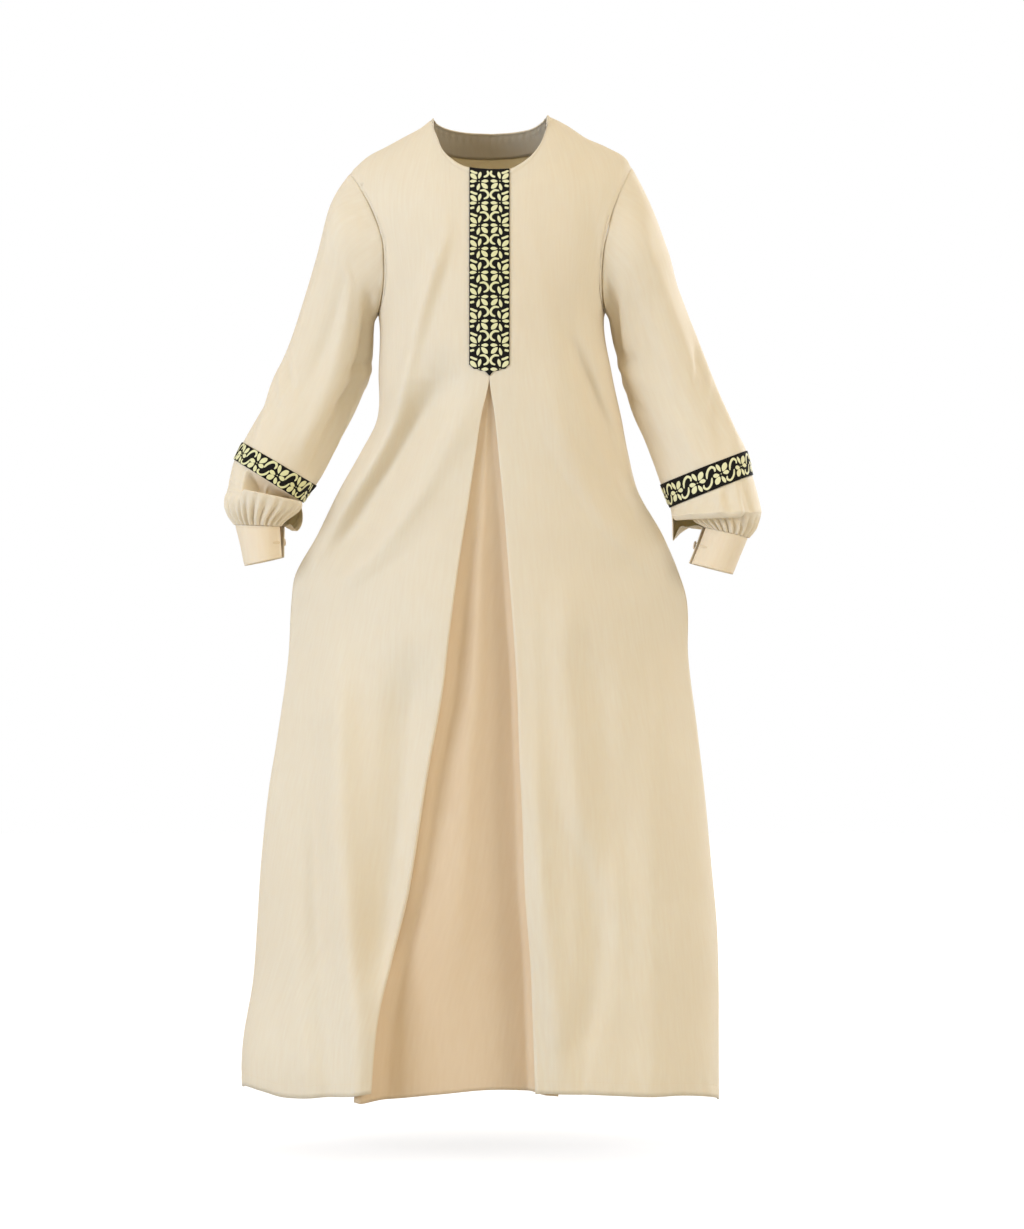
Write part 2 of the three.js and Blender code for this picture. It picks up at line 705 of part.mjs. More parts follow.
function sleeve(side) {
  const loop = ARMHOLE_LOOP[side];
  const start = loop.points.map((point, i) => {
    const tangent = loop.points[(i + 1) % RING].clone().sub(loop.points[(i + RING - 1) % RING]);
    const outward = tangent.cross(loop.normals[i]).normalize();
    outward.multiplyScalar(outward.x * SIGN[side] < 0 ? -1 : 1);
    return point.clone().addScaledVector(outward, ARMHOLE_GAP);
  });
  const frames = SLEEVE[side].map((section) => sectionFrame(side, section));
  const rows = [start, ...frames.map((frame) => ring(frame))];
  const centres = rows.map((row) => {
    const centre = new THREE.Vector3();
    row.forEach((point) => centre.addScaledVector(point, 1 / RING));
    return centre;
  });
  const normals = gridNormals(rows, true, (r) => centres[r]);
  normals[0] = loop.normals;
  normals[rows.length - 1] = ringNormals(frames[frames.length - 1]);
  return wallMesh(`sleeve_${side}`, rows, normals, CLOTH_WALL, COLOUR.cloth, true);
}

// The ribbon band, the sleeve's last two sections moved out.
function sleeveTrim(side) {
  const lift = CLOTH_WALL / 2 + LAY_GAP + TRIM_WALL / 2;
  const frames = SLEEVE[side].slice(-2).map((section) => sectionFrame(side, section));
  const normals = frames.map((frame) => ringNormals(frame));
  const rows = frames.map((frame, r) => ring(frame).map((point, c) => (
    point.addScaledVector(normals[r][c], lift)
  )));
  return wallMesh(`sleeve_trim_${side}`, rows, normals, TRIM_WALL, COLOUR.trim, true);
}

// Turns directions so that they lie in their section's plane.
function flatten(normals, { down }) {
  normals.forEach((normal) => normal.addScaledVector(down, -normal.dot(down)).normalize());
}

function lowerSleeve(side) {
  const sections = LOWER_SLEEVE[side];
  const frames = sections.map((section) => sectionFrame(side, section));
  const columns = GATHERS * 2;
  const last = sections.length - 1;
  const rows = frames.map((frame, r) => {
    const open = smooth(GATHER_SHAPE.opens, 1, r / last);
    const slit = THREE.MathUtils.radToDeg(SEAM_GAP / frame.halfWidth);
    const from = mix(VENT.closed, VENT.frontEnd, open);
    const to = mix(VENT.closed - 360 + slit, VENT.backEnd, open);
    const shift = r === 0 ? SEAM_GAP : r === last ? -SEAM_GAP : 0;
    return Array.from({ length: columns + 1 }, (unused, c) => {
      const uneven = 1 + GATHER_SHAPE.uneven * Math.sin(c * GATHER_SHAPE.step);
      const gather = sections[r].gather * uneven * (c % 2 ? -1 : 1);
      const spring = VENT.spring * open * smooth(GATHER_SHAPE.springs, 1, c / columns);
      const swell = gather + spring * frame.halfWidth;
      const point = sectionPoint(frame, mix(from, to, c / columns), swell);
      return point.addScaledVector(frame.down, shift);
    });
  });
  const normals = gridNormals(rows, false, (r) => frames[r].centre);
  for (const r of [0, last]) {
    flatten(normals[r], frames[r]);
  }
  return wallMesh(`lower_sleeve_${side}`, rows, normals, GATHER_WALL, COLOUR.cloth);
}

function cuffPoint(frame, t) {
  const spring = VENT.spring * smooth(GATHER_SHAPE.springs, 1, t) * frame.halfWidth;
  return sectionPoint(frame, mix(VENT.frontEnd, VENT.backEnd, t), spring);
}

function cuff(side) {
  const columns = GRID.cuffColumns;
  const frames = CUFF[side].map((section) => sectionFrame(side, section));
  const rows = frames.map((frame) => (
    Array.from({ length: columns + 1 }, (unused, c) => cuffPoint(frame, c / columns))
  ));
  const normals = gridNormals(rows, false, (r) => frames[r].centre);
  normals.forEach((row, r) => flatten(row, frames[r]));
  return wallMesh(`cuff_${side}`, rows, normals, CLOTH_WALL, COLOUR.cloth);
}

// A flat round button on the cuff's under end.
function cuffButton(side) {
  const frame = sectionFrame(side, CUFF[side][1]);
  const t = (VENT.frontEnd - BUTTON_PLACE[side]) / (VENT.frontEnd - VENT.backEnd);
  const step = 0.02;
  const tangent = cuffPoint(frame, t + step).sub(cuffPoint(frame, t - step));
  const normal = tangent.cross(frame.down).normalize();
  const place = cuffPoint(frame, t);
  if (normal.dot(place.clone().sub(frame.centre)) < 0) {
    normal.negate();
  }
  const clear = CLOTH_WALL / 2 + BUTTON.thickness / 2 + BUTTON.clear;
  const { radius, thickness, sides } = BUTTON;
  const geometry = new THREE.CylinderGeometry(radius, radius, thickness, sides);
  const material = new THREE.MeshStandardMaterial({ color: COLOUR.button, roughness: 0.35, metalness: 0 });
  const mesh = new THREE.Mesh(geometry, material);
  mesh.name = `cuff_button_${side}`;
  mesh.quaternion.setFromUnitVectors(new THREE.Vector3(0, 1, 0), normal);
  mesh.position.copy(place.addScaledVector(normal, clear));
  return mesh;
}

// ---------------------------------------------------------------- the garment
const abaya = new THREE.Group();
abaya.name = 'abaya';
abaya.add(backPanel(), pleatUnderlay(), neckFacing('front'), neckFacing('back'), frontTrim());
for (const side of ['left', 'right']) {
  abaya.add(frontPanel(side), sleeve(side), sleeveTrim(side));
  abaya.add(lowerSleeve(side), cuff(side), cuffButton(side));
}

export default abaya;
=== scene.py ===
"""A girl's cream abaya in its worn, held-out form: thin cloth shells with their
folds, a box pleat, flowered ribbons, gathers, cuffs, stitching and buttons,
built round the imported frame. Tables are in millimetres, as a pattern is."""
import math

import bpy
import numpy as np
from mathutils import Matrix, Vector


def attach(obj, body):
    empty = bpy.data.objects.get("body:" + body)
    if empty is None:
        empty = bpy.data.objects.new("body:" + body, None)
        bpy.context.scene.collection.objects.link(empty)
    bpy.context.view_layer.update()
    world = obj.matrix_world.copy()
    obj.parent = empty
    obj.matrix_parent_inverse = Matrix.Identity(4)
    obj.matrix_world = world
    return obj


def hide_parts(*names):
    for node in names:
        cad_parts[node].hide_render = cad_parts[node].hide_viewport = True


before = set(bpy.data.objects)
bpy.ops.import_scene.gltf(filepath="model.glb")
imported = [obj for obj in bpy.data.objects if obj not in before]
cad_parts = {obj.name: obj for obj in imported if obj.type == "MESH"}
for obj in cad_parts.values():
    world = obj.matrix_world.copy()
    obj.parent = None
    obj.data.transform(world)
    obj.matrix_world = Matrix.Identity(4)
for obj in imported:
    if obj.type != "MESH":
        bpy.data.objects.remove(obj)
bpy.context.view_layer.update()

# ------------------------------------------------------------------ sizes
MM = 0.001
CLOTH = 0.7
RIBBON_THICK = 0.7
TRIM_HALF_WIDTH = 23
TRIM_COLUMN = TRIM_HALF_WIDTH / 2
PLEAT_TIP = -314
PLEAT_TOP = -296
RETURN_WIDTH = 24
ARMPIT = {"left": -232, "right": -229}
SIGN = {"left": -1, "right": 1}
ROLL_OVER = {"front": 110, "back": 80}
NECK_COLUMNS = 6
TIP_COLUMN = 9
LAST_COLUMN = 17
ARMHOLE_EASE = 15
SUB_COLUMNS = 7
FRONT_ROWS = 230
BACK_ROWS = 170
ROW_BIAS = 1.25
GATHERS = 24
FLOOR = -1.211
EDGE_STITCH = 7.5
HEM_DEPTH = 14.5
LAY_GAP = 0.35
UNDERLAY_HEM = -1128
TO_FRONT = np.array([0, -1, 0])
SLEEVE_GRID = (190, 128)
CUFF_GRID = (40, 150)
# Millimetres of sleeve for a section along it and for a degree round it.
SECTION_STEP = 42
DEGREE_STEP = 0.87


# ------------------------------------------------------------------ tables
def table(columns, rows):
    """Named columns of numbers, one row for each section or place."""
    return {name: np.array([row[i] for row in rows], float) for i, name in enumerate(columns)}


BODY = table(["z", "left", "right", "front", "back", "leftLens", "rightLens"], [
    [40, 205, 205, 50, 56, 1, 1],
    [0, 197, 199, 66, 62, 1, 1],
    [-60, 188, 190, 86, 72, 1, 1],
    [-120, 167, 172, 98, 82, 1, 1],
    [-180, 147, 152, 106, 87, 1, 1],
    [-232, 131, 134.5, 109, 87, 1, 1],
    [-300, 131, 143, 108, 82, 1, 1],
    [-355, 133, 155, 106, 80, 1.1, 1.1],
    [-391, 151, 162, 106, 83, 1.3, 1.2],
    [-440, 179, 175, 106, 88, 1.5, 1.4],
    [-490, 204, 204, 107, 93, 1.8, 1.7],
    [-538, 230, 224, 109, 97, 2, 2],
    [-565, 234, 232, 111, 99, 2, 2],
    [-633, 238, 234, 115, 105, 1.9, 1.9],
    [-720, 250, 245, 121, 113, 1.7, 1.7],
    [-790, 261, 253, 127, 120, 1.5, 1.5],
    [-880, 270, 261, 134, 128, 1.35, 1.35],
    [-947, 274, 267, 139, 134, 1.25, 1.25],
    [-1015, 279, 269, 143, 139, 1.15, 1.15],
    [-1082, 290, 269, 148, 144, 1.05, 1.05],
    [-1118, 292, 269, 151, 147, 1, 1],
    [-1170, 288, 269, 153, 150, 1, 1],
])

SHOULDER = {
    "left": table(["x", "z"], [
        [0, 14], [67, -1], [80, -11], [100, -22], [122, -34], [146, -47], [165, -65], [200, -100],
    ]),
    "right": table(["x", "z"], [
        [0, 16], [67, 2.5], [91, -9], [113, -23.5], [139, -35], [164, -52], [167, -58], [200, -95],
    ]),
}

NECK = {
    "front": {
        "left": table(["x", "z"], [
            [0, -71], [19, -69], [30, -66], [40, -60], [54, -46], [61, -29], [68, -6], [67, -1],
        ]),
        "right": table(["x", "z"], [
            [0, -71], [19, -70.5], [25, -69.5], [36, -63], [48, -53], [60, -35], [65, -20],
            [69.5, -3], [67, 2.5],
        ]),
    },
    "back": {
        "left": table(["x", "z"], [[0, -12], [30, -11], [50, -8], [62, -4], [67, -1]]),
        "right": table(["x", "z"], [[0, -12], [30, -10.5], [50, -7], [62, -1], [67, 2.5]]),
    },
}

ARMHOLE = {
    "left": table(["x", "z"], [
        [165, -65], [154, -82], [143, -102], [133, -124], [125, -148], [123, -175], [124, -203],
        [128, -222], [131, -232],
    ]),
    "right": table(["x", "z"], [
        [167, -58], [159, -76], [151, -94], [140, -126], [134, -153], [131, -180], [131, -205],
        [133, -220], [134.5, -229],
    ]),
}

HEM = {
    "front": table(["x", "z"], [
        [-295, -1139], [-234, -1134], [-185, -1136], [-136, -1140], [-60, -1134], [0, -1128],
        [54, -1130], [110, -1135], [160, -1138], [215, -1145], [270, -1154],
    ]),
    "back": table(["x", "z"], [
        [-295, -1139], [-150, -1144], [0, -1146], [150, -1150], [270, -1154],
    ]),
}

# The pleat's folded edges, the underlay's depth behind them, and how far each
# edge rolls round before its cloth turns back.
PLEAT = table(["z", "left", "right", "depth", "roll"], [
    [-290, 0, 0, 1, 1.0], [-314, 0, 0, 2, 1.0], [-356, 9, 6, 6, 1.3], [-415, 18, 12, 10, 1.7],
    [-467, 26, 17, 13, 2.0], [-530, 36, 22, 16, 2.2], [-621, 48, 29, 19, 2.5],
    [-670, 54, 32, 21, 2.6], [-749, 69, 34, 23, 2.8], [-827, 82, 37, 25, 3.0],
    [-905, 95, 40, 27, 3.1], [-979, 112, 46, 29, 3.2], [-1043, 125, 49, 31, 3.3],
    [-1136, 133, 53, 34, 3.4], [-1170, 136, 55, 35, 3.4],
])

FOLD_COLUMNS = ["height", "spread", "x1", "z1", "x2", "x3", "z3"]
MAIN_FOLDS = {
    "front": table(FOLD_COLUMNS, [
        [11, 11, -47, -140, -83, -110, -352],
        [-31, 19, -56, -312, -121, -197, -540],
        [18, 15, -102, -312, -145, -214, -508],
        [8, 18, -22, -330, -86, -176, -566],
        [-7, 12, -96, -262, -124, -150, -398],
        [-20, 11, 94, -262, 142, 207, -500],
        [8, 13, 122, -262, 166, 222, -480],
        [7, 20, 74, -318, 112, 205, -552],
        [-6, 10, 118, -119, 124, 128, -238],
        [23, 24, -178, -600, -174, -152, -1060],
        [-19, 25, -92, -640, -106, -122, -1000],
        [-7, 12, -206, -730, -200, -190, -1000],
        [8, 18, -236, -860, -224, -206, -1120],
        [-7, 20, 112, -620, 134, 150, -880],
        [8, 22, 214, -590, 196, 190, -1060],
        [-9, 18, 84, -820, 122, 96, -1080],
        [9, 17, 48, -700, 62, 92, -1130],
        [6, 18, 88, -560, 92, 112, -860],
    ]),
    "back": table(FOLD_COLUMNS, [
        [-9, 15, -70, -330, -140, -212, -540],
        [9, 14, -84, -300, -150, -218, -505],
        [9, 15, -58, -370, -128, -206, -560],
        [-9, 15, 76, -310, 136, 208, -540],
        [9, 14, 92, -280, 146, 208, -500],
        [9, 15, 60, -355, 124, 204, -562],
        [8, 18, -20, -150, -34, -30, -460],
        [-6, 16, 22, -170, 26, 16, -470],
        [10, 24, -206, -600, -170, -176, -1120],
        [-9, 22, -130, -600, -112, -112, -1130],
        [9, 24, -58, -520, -50, -44, -1130],
        [-9, 22, 2, -520, 8, 16, -1130],
        [10, 24, 66, -540, 70, 80, -1130],
        [-9, 22, 134, -600, 132, 142, -1130],
        [10, 24, 204, -610, 190, 204, -1120],
    ]),
}

# Smaller creases that lie on the main folds.
FINE_FOLDS = {
    "front": table(FOLD_COLUMNS, [
        [-2.0, 6, -84, -372, -108, -140, -440],
        [1.8, 6, -128, -340, -160, -210, -470],
        [-1.6, 6, -118, -360, -152, -196, -470],
        [1.6, 7, -60, -420, -112, -190, -560],
        [-1.4, 8, -56, -470, -110, -196, -575],
        [1.5, 6, 100, -300, 140, 196, -450],
        [-1.8, 6, 88, -350, 130, 190, -500],
        [-1.4, 7, 60, -380, 118, 204, -570],
        [1.6, 7, 130, -380, 164, 214, -540],
        [-1.0, 6, 105, -118, 110, 112, -240],
        [1.0, 7, -104, -120, -110, -112, -240],
        [-1.2, 8, -36, -110, -56, -84, -300],
        [1.0, 9, 44, -120, 62, 74, -300],
        [1.8, 10, -226, -600, -214, -214, -900],
        [-1.6, 9, -180, -640, -196, -204, -960],
        [1.6, 10, 150, -640, 146, 150, -1000],
        [-1.6, 10, 178, -600, 196, 200, -960],
        [1.4, 9, -96, -600, -104, -120, -860],
        [1.4, 9, 50, -560, 56, 62, -960],
        [1.5, 10, 100, -700, 98, 100, -1120],
        [-1.4, 9, -226, -900, -252, -262, -1120],
    ]),
    "back": table(FOLD_COLUMNS, [
        [1.8, 6, -100, -330, -150, -206, -480],
        [-1.6, 6, -84, -360, -140, -200, -520],
        [1.8, 6, 100, -310, 146, 200, -470],
        [-1.6, 6, 84, -350, 134, 196, -520],
        [1.6, 8, -66, -90, -80, -84, -260],
        [1.6, 8, 66, -90, 78, 84, -260],
        [-1.6, 9, -176, -620, -150, -150, -1000],
        [1.6, 9, 30, -560, 36, 40, -960],
        [-1.6, 9, 172, -620, 164, 172, -1000],
        [1.6, 9, -90, -600, -84, -78, -1000],
    ]),
}

SECTION = ["outerX", "outerZ", "innerX", "innerZ", "middleY", "halfDepth"]
SLEEVE = {
    "left": table(SECTION, [
        [187, -101, 135.5, -239, -3, 55],
        [204, -161, 136.5, -252, 3, 54],
        [217, -205, 137, -270, 9, 53],
        [235, -260, 141, -298, 13, 52],
        [252, -300, 158, -342, 13, 51],
        [269, -340, 180, -384, 9, 50],
        [290, -381, 206, -430, 1, 50],
        [300, -402, 220, -452, -4, 49],
    ]),
    "right": table(SECTION, [
        [189, -103, 139.5, -236, -3, 55],
        [209, -155, 142, -250, 3, 54],
        [220, -194, 146, -268, 9, 53],
        [238, -248, 154, -298, 13, 52],
        [262, -309, 168, -346, 13, 51],
        [284, -356, 185, -386, 9, 50],
        [301, -391, 201, -430, 1, 50],
        [308, -420, 212, -458, -4, 49],
    ]),
}

# Soft folds of the sleeves: height, spread in millimetres, and the two ends,
# each as a section number and a place round in degrees.
SLEEVE_FOLDS = {
    "left": table(["height", "spread", "s1", "turn1", "s2", "turn2"], [
        [3.5, 12, 0.4, 60, 4.4, 30],
        [-4, 12, 0.6, 100, 5.2, 75],
        [3.5, 10, 1.2, 130, 6.4, 112],
        [-3, 9, 2.6, 150, 6.8, 140],
        [-3.5, 7, 3.6, 176, 4.2, 128],
        [2.6, 7, 3.9, 184, 4.7, 118],
        [-3, 7, 4.3, 180, 5.2, 128],
        [2.5, 8, 4.9, 10, 6.8, 52],
        [-3, 8, 5.2, -12, 6.9, 30],
        [-3, 12, 0.6, -100, 5.2, -80],
        [3.5, 12, 1.0, -60, 5.6, -40],
        [3, 10, 1.4, -140, 6.4, -120],
        [-3, 8, 3.6, -170, 4.4, -110],
        [2.4, 7, 4.2, -176, 5.0, -118],
        [5, 10, 1.4, 98, 6.2, 106],
        [-9, 14, 0.9, 146, 6.6, 142],
        [4.2, 4, 5.0, 160, 7.4, 172],
        [-3.2, 5, 4.3, 22, 5.2, 62],
        [2.6, 5, 4.7, 18, 5.7, 58],
    ]),
    "right": table(["height", "spread", "s1", "turn1", "s2", "turn2"], [
        [-11, 13, 0.35, 148, 3.4, 158],
        [-2.6, 5, 4.4, 24, 5.0, 60],
        [2.4, 5, 4.8, 20, 5.6, 56],
        [3, 12, 0.4, 70, 4.8, 48],
        [-3.5, 12, 0.8, 112, 5.6, 96],
        [3, 10, 1.2, 140, 6.2, 130],
        [-3, 8, 3.2, 178, 4.0, 126],
        [2.6, 8, 3.7, 182, 4.6, 120],
        [-2.6, 7, 4.3, 180, 5.2, 132],
        [3, 10, 3.4, 0, 6.8, 30],
        [-3, 9, 4.4, 30, 6.9, 64],
        [2.2, 8, 5.4, 100, 6.9, 96],
        [-3, 12, 0.6, -100, 5.2, -80],
        [3.5, 12, 1.0, -60, 5.6, -40],
        [3, 10, 1.4, -140, 6.4, -120],
        [-3, 8, 3.6, -170, 4.4, -110],
        [2.4, 7, 4.2, -176, 5.0, -118],
    ]),
}

# The lower sleeves, band to cuff: gather height, and how far the front of
# each section swells out and is lifted, which folds the cloth over itself.
LOWER = {
    "left": table(SECTION + ["gather", "front", "lift"], [
        [300, -402, 220, -452, -4, 49, 0, 0, 0],
        [302.5, -411, 220.5, -452.5, -5, 49, 0, -12, 0],
        [304.5, -420, 221, -453.5, -6, 49, 0.1, -25, -3],
        [306, -427, 221.5, -454.5, -7, 49, 0.2, -27, -9],
        [307, -434, 221.5, -455, -7, 48.5, 0.3, -12, -9],
        [308, -438, 222, -456, -8, 48.5, 0.5, 3, 4],
        [308.5, -441, 222.5, -458, -8, 48, 0.9, 5.5, 3],
        [310, -448, 225, -463, -9, 46, 1.7, 2.5, 0],
        [308, -460, 231, -469, -11, 41, 2.5, 0, 0],
        [303, -471, 239, -475, -13, 34, 2.5, 0, 0],
        [298, -479, 244, -481, -15, 27, 1.6, 0, 0],
    ]),
    "right": table(SECTION + ["gather", "front", "lift"], [
        [308, -420, 212, -458, -4, 49, 0, 0, 0],
        [313, -438, 213, -463, -6, 51, 0, 1, 0],
        [317, -455, 215, -467, -8, 52, 0.1, 5, 0],
        [318.5, -463, 217, -468, -9, 52, 0.2, 7, -1],
        [318, -466, 219, -469, -9, 50, 0.3, 3, -5],
        [317, -469, 223, -470, -10, 46, 0.6, -9, 4],
        [314, -475, 229, -471, -11, 41, 1.5, -6, 2],
        [309, -484, 240, -476, -13, 33, 2.5, -1, 0],
        [302, -494, 251, -482, -15, 26, 1.6, 0, 0],
    ]),
}

# Soft creases of the lower sleeves: height, spread in degrees, the place round
# at the first and the second section, and those sections.
LOWER_FOLDS = {
    "left": table(["height", "spread", "turn1", "turn2", "s1", "s2"], [
        [2.5, 5, 96, 84, 1.0, 5.0],
        [2.0, 6, 150, 146, 0.6, 4.0],
    ]),
    "right": table(["height", "spread", "turn1", "turn2", "s1", "s2"], [
        [2.6, 6, 60, 64, 0.3, 3.2],
        [-2.6, 6, 74, 78, 0.4, 2.8],
        [2.2, 6, 86, 92, 0.6, 3.0],
        [-2.0, 5, 46, 44, 0.5, 3.0],
        [1.6, 9, 128, 124, 0.8, 3.0],
    ]),
}

# The vent's loose back edge: how far out and down it hangs, between which
# shares of the way from band to cuff, and how far the back sags.
VENT_FLAP = {
    "left": {"out": 0, "down": 12, "start": 0.42, "peak": 0.82, "end": 0.95, "sag": 3},
    "right": {"out": 3, "down": 22, "start": 0.1, "peak": 0.45, "end": 0.8, "sag": 9},
}

CUFF = {
    "left": table(SECTION, [
        [298, -479, 244, -481, -15, 26],
        [292, -503, 243, -499, -16, 25],
        [287, -527, 242, -517, -17, 24],
    ]),
    "right": table(SECTION, [
        [302, -494, 251, -482, -15, 26],
        [293, -515, 243, -503, -16, 25],
        [284, -537, 234.5, -524, -17, 24],
    ]),
}
VENT = {"closed": 172, "frontEnd": 160, "backEnd": -172}
# How far the cuff's loose end stands off, at its top and its bottom edge.
SPRING = {"left": (0.13, 0.05), "right": (0.08, 0.05)}
BUTTON_PLACE = {"left": -152, "right": -164}


# ------------------------------------------------------------------ numbers
def curve(values, steps, span, i, t):
    """A smooth line through values, at shares t of the spans that begin at i."""
    ends = np.concatenate([steps[:1], (steps[:-1] + steps[1:]) / 2, steps[-1:]])
    return ((2 * t**3 - 3 * t**2 + 1) * values[i] + (t**3 - 2 * t**2 + t) * span * ends[i]
            + (3 * t**2 - 2 * t**3) * values[i + 1] + (t**3 - t**2) * span * ends[i + 1])


def read(rows, key, column, value):
    """A column of a table at a key, on a smooth curve through its rows."""
    keys, values = rows[key], rows[column]
    if keys[-1] < keys[0]:
        keys, value = -keys, -np.asarray(value, float)
    value = np.asarray(value, float)
    i = np.clip(np.searchsorted(keys, value, side="right") - 1, 0, len(keys) - 2)
    span = keys[i + 1] - keys[i]
    t = np.clip((value - keys[i]) / span, 0, 1)
    return curve(values, np.diff(values) / np.diff(keys), span, i, t)


def mix(a, b, t):
    return a + (b - a) * t


def smooth(low, high, value):
    t = np.clip((value - low) / (high - low), 0, 1)
    return t * t * (3 - 2 * t)


def bell(away, spread):
    """1 in the middle of a groove or ridge, and close to 0 two spreads away."""
    return np.exp(-((away / spread) ** 2))


def along(xs, zs, fraction):
    """Places at fractions of the length of a line through points."""
    lengths = np.concatenate([[0], np.cumsum(np.hypot(np.diff(xs), np.diff(zs)))])
    places = {"t": lengths / lengths[-1], "x": np.asarray(xs, float), "z": np.asarray(zs, float)}
    return read(places, "t", "x", fraction), read(places, "t", "z", fraction)


def unit(vectors):
    return vectors / np.maximum(np.linalg.norm(vectors, axis=-1, keepdims=True), 1e-9)


def grid_normals(points, wrap=False):
    """Unit directions of a grid of points, rows by columns."""
    if wrap:
        across = np.roll(points, -1, 1) - np.roll(points, 1, 1)
    else:
        across = np.gradient(points, axis=1)
    return unit(np.cross(across, np.gradient(points, axis=0)))


def lengths_from(points, axis, reverse=False):
    """Distance of each grid point from its first (or last) row or column."""
    source = np.flip(points, axis) if reverse else points
    steps = np.linalg.norm(np.diff(source, axis=axis), axis=2)
    pad = [(1, 0), (0, 0)] if axis == 0 else [(0, 0), (1, 0)]
    total = np.cumsum(np.pad(steps, pad), axis=axis)
    return np.flip(total, axis) if reverse else total


def ripple(a, b, seed, scale, height):
    """A soft random unevenness over two coordinates in millimetres."""
    rng = np.random.default_rng(seed)
    total = np.zeros(np.broadcast(a, b).shape)
    for _ in range(7):
        turn, start = rng.uniform(0, 2 * math.pi, 2)
        wave = 2 * math.pi / (scale * rng.uniform(0.6, 1.6))
        total += np.sin((a * math.cos(turn) + b * math.sin(turn)) * wave + start)
    return total * height / 7


# ------------------------------------------------------------------ body surfaces
def fold_height(folds, x, z):
    """Summed height of folds whose middles run through three places."""
    total = np.zeros(np.shape(x))
    for height, spread, x1, z1, x2, x3, z3 in zip(*folds.values()):
        reach = np.clip((z - z1) / (z3 - z1), 0, 1)
        middle = mix(x1, x3, reach) + (1 - reach) * reach * 2 * (2 * x2 - x1 - x3)
        lean = math.hypot(1, (x3 - x1) / (z3 - z1))
        away = (x - middle) / lean / spread
        if z3 < -1000:
            fade = smooth(z1 + 40, z1 - 120, z)
        else:
            fade = smooth(z1 + 40, z1 - 60, z) * smooth(z3 - 30, z3 + 60, z)
        total += height * fade * np.exp(-away * away)
    return total


def depth_at(face, side, out, z):
    """How far the cloth stands before or behind the shoulder line."""
    width = read(BODY, "z", side, z)
    lens = read(BODY, "z", side + "Lens", z)
    reach = np.minimum(0.9999, out / width)
    below = np.maximum(0.02, read(SHOULDER[side], "x", "z", out) - z)
    roll = np.minimum(1, below / ROLL_OVER[face])
    over = np.sqrt(1 - (1 - roll) ** 2)
    x = out * SIGN[side]
    folds = fold_height(MAIN_FOLDS[face], x, z) + fold_height(FINE_FOLDS[face], x, z)
    return read(BODY, "z", face, z) * (1 - reach**2) ** (lens / 2) * over + folds * (1 - reach**6) * over


def body_points(face, side, out, z):
    depth = depth_at(face, side, out, z)
    toward = -1 if face == "front" else 1
    return np.stack([out * SIGN[side], toward * depth, np.broadcast_to(z, np.shape(depth))], axis=-1)


def top_edge(face, side, columns):
    """The top edge, middle to underarm: neck, shoulder, then armhole."""
    neck = NECK[face][side]
    near = np.minimum(columns, 2) * TRIM_COLUMN
    keep = neck["x"] > TRIM_HALF_WIDTH
    start = float(read(neck, "x", "z", TRIM_HALF_WIDTH))
    neck_x, neck_z = along(
        np.concatenate([[TRIM_HALF_WIDTH], neck["x"][keep]]),
        np.concatenate([[start], neck["z"][keep]]),
        (columns - 2) / (NECK_COLUMNS - 2),
    )
    tip = ARMHOLE[side]["x"][0]
    shoulder_x = mix(neck["x"][-1], tip, np.clip((columns - NECK_COLUMNS) / 3, 0, 1))
    hole_x, hole_z = along(ARMHOLE[side]["x"], ARMHOLE[side]["z"], (columns - TIP_COLUMN) / 8)
    parts = [columns <= 2, columns <= NECK_COLUMNS, columns < TIP_COLUMN]
    x = np.select(parts, [near, neck_x, shoulder_x], hole_x)
    z = np.select(parts, [
        read(neck, "x", "z", near), neck_z, read(SHOULDER[side], "x", "z", shoulder_x),
    ], hole_z)
    return x, z


def column_out(side, columns, top_x, top_z, z, middle, first):
    """Distance of each column from the middle, at each height."""
    armpit = ARMPIT[side]
    level = np.minimum(z, armpit)
    width = read(BODY, "z", side, level)
    lens = read(BODY, "z", side + "Lens", level)
    turn = np.maximum(0, columns - 2) / (LAST_COLUMN - 2)
    spread = mix(np.sin(turn * math.pi / 2), turn, np.clip(lens - 1, 0, 1))
    start = middle + mix(first, TRIM_HALF_WIDTH, np.minimum(columns / 2, 1))
    settled = start + (width - start) * spread
    t = np.clip((top_z - z) / np.maximum(top_z - armpit, 0.01), 0, 1)
    path = mix(top_x, settled, np.where(settled < top_x, 1 - (1 - t) ** 2, t**2))
    clear = np.minimum(np.minimum(ARMHOLE_EASE, top_z - z), z - armpit) / 5
    inside = np.minimum(path, read(ARMHOLE[side], "z", "x", z) - np.maximum(clear, 0))
    path = np.where((columns >= TIP_COLUMN) & (z <= ARMHOLE[side]["z"][0]), inside, path)
    return np.where(z <= armpit, settled, path)


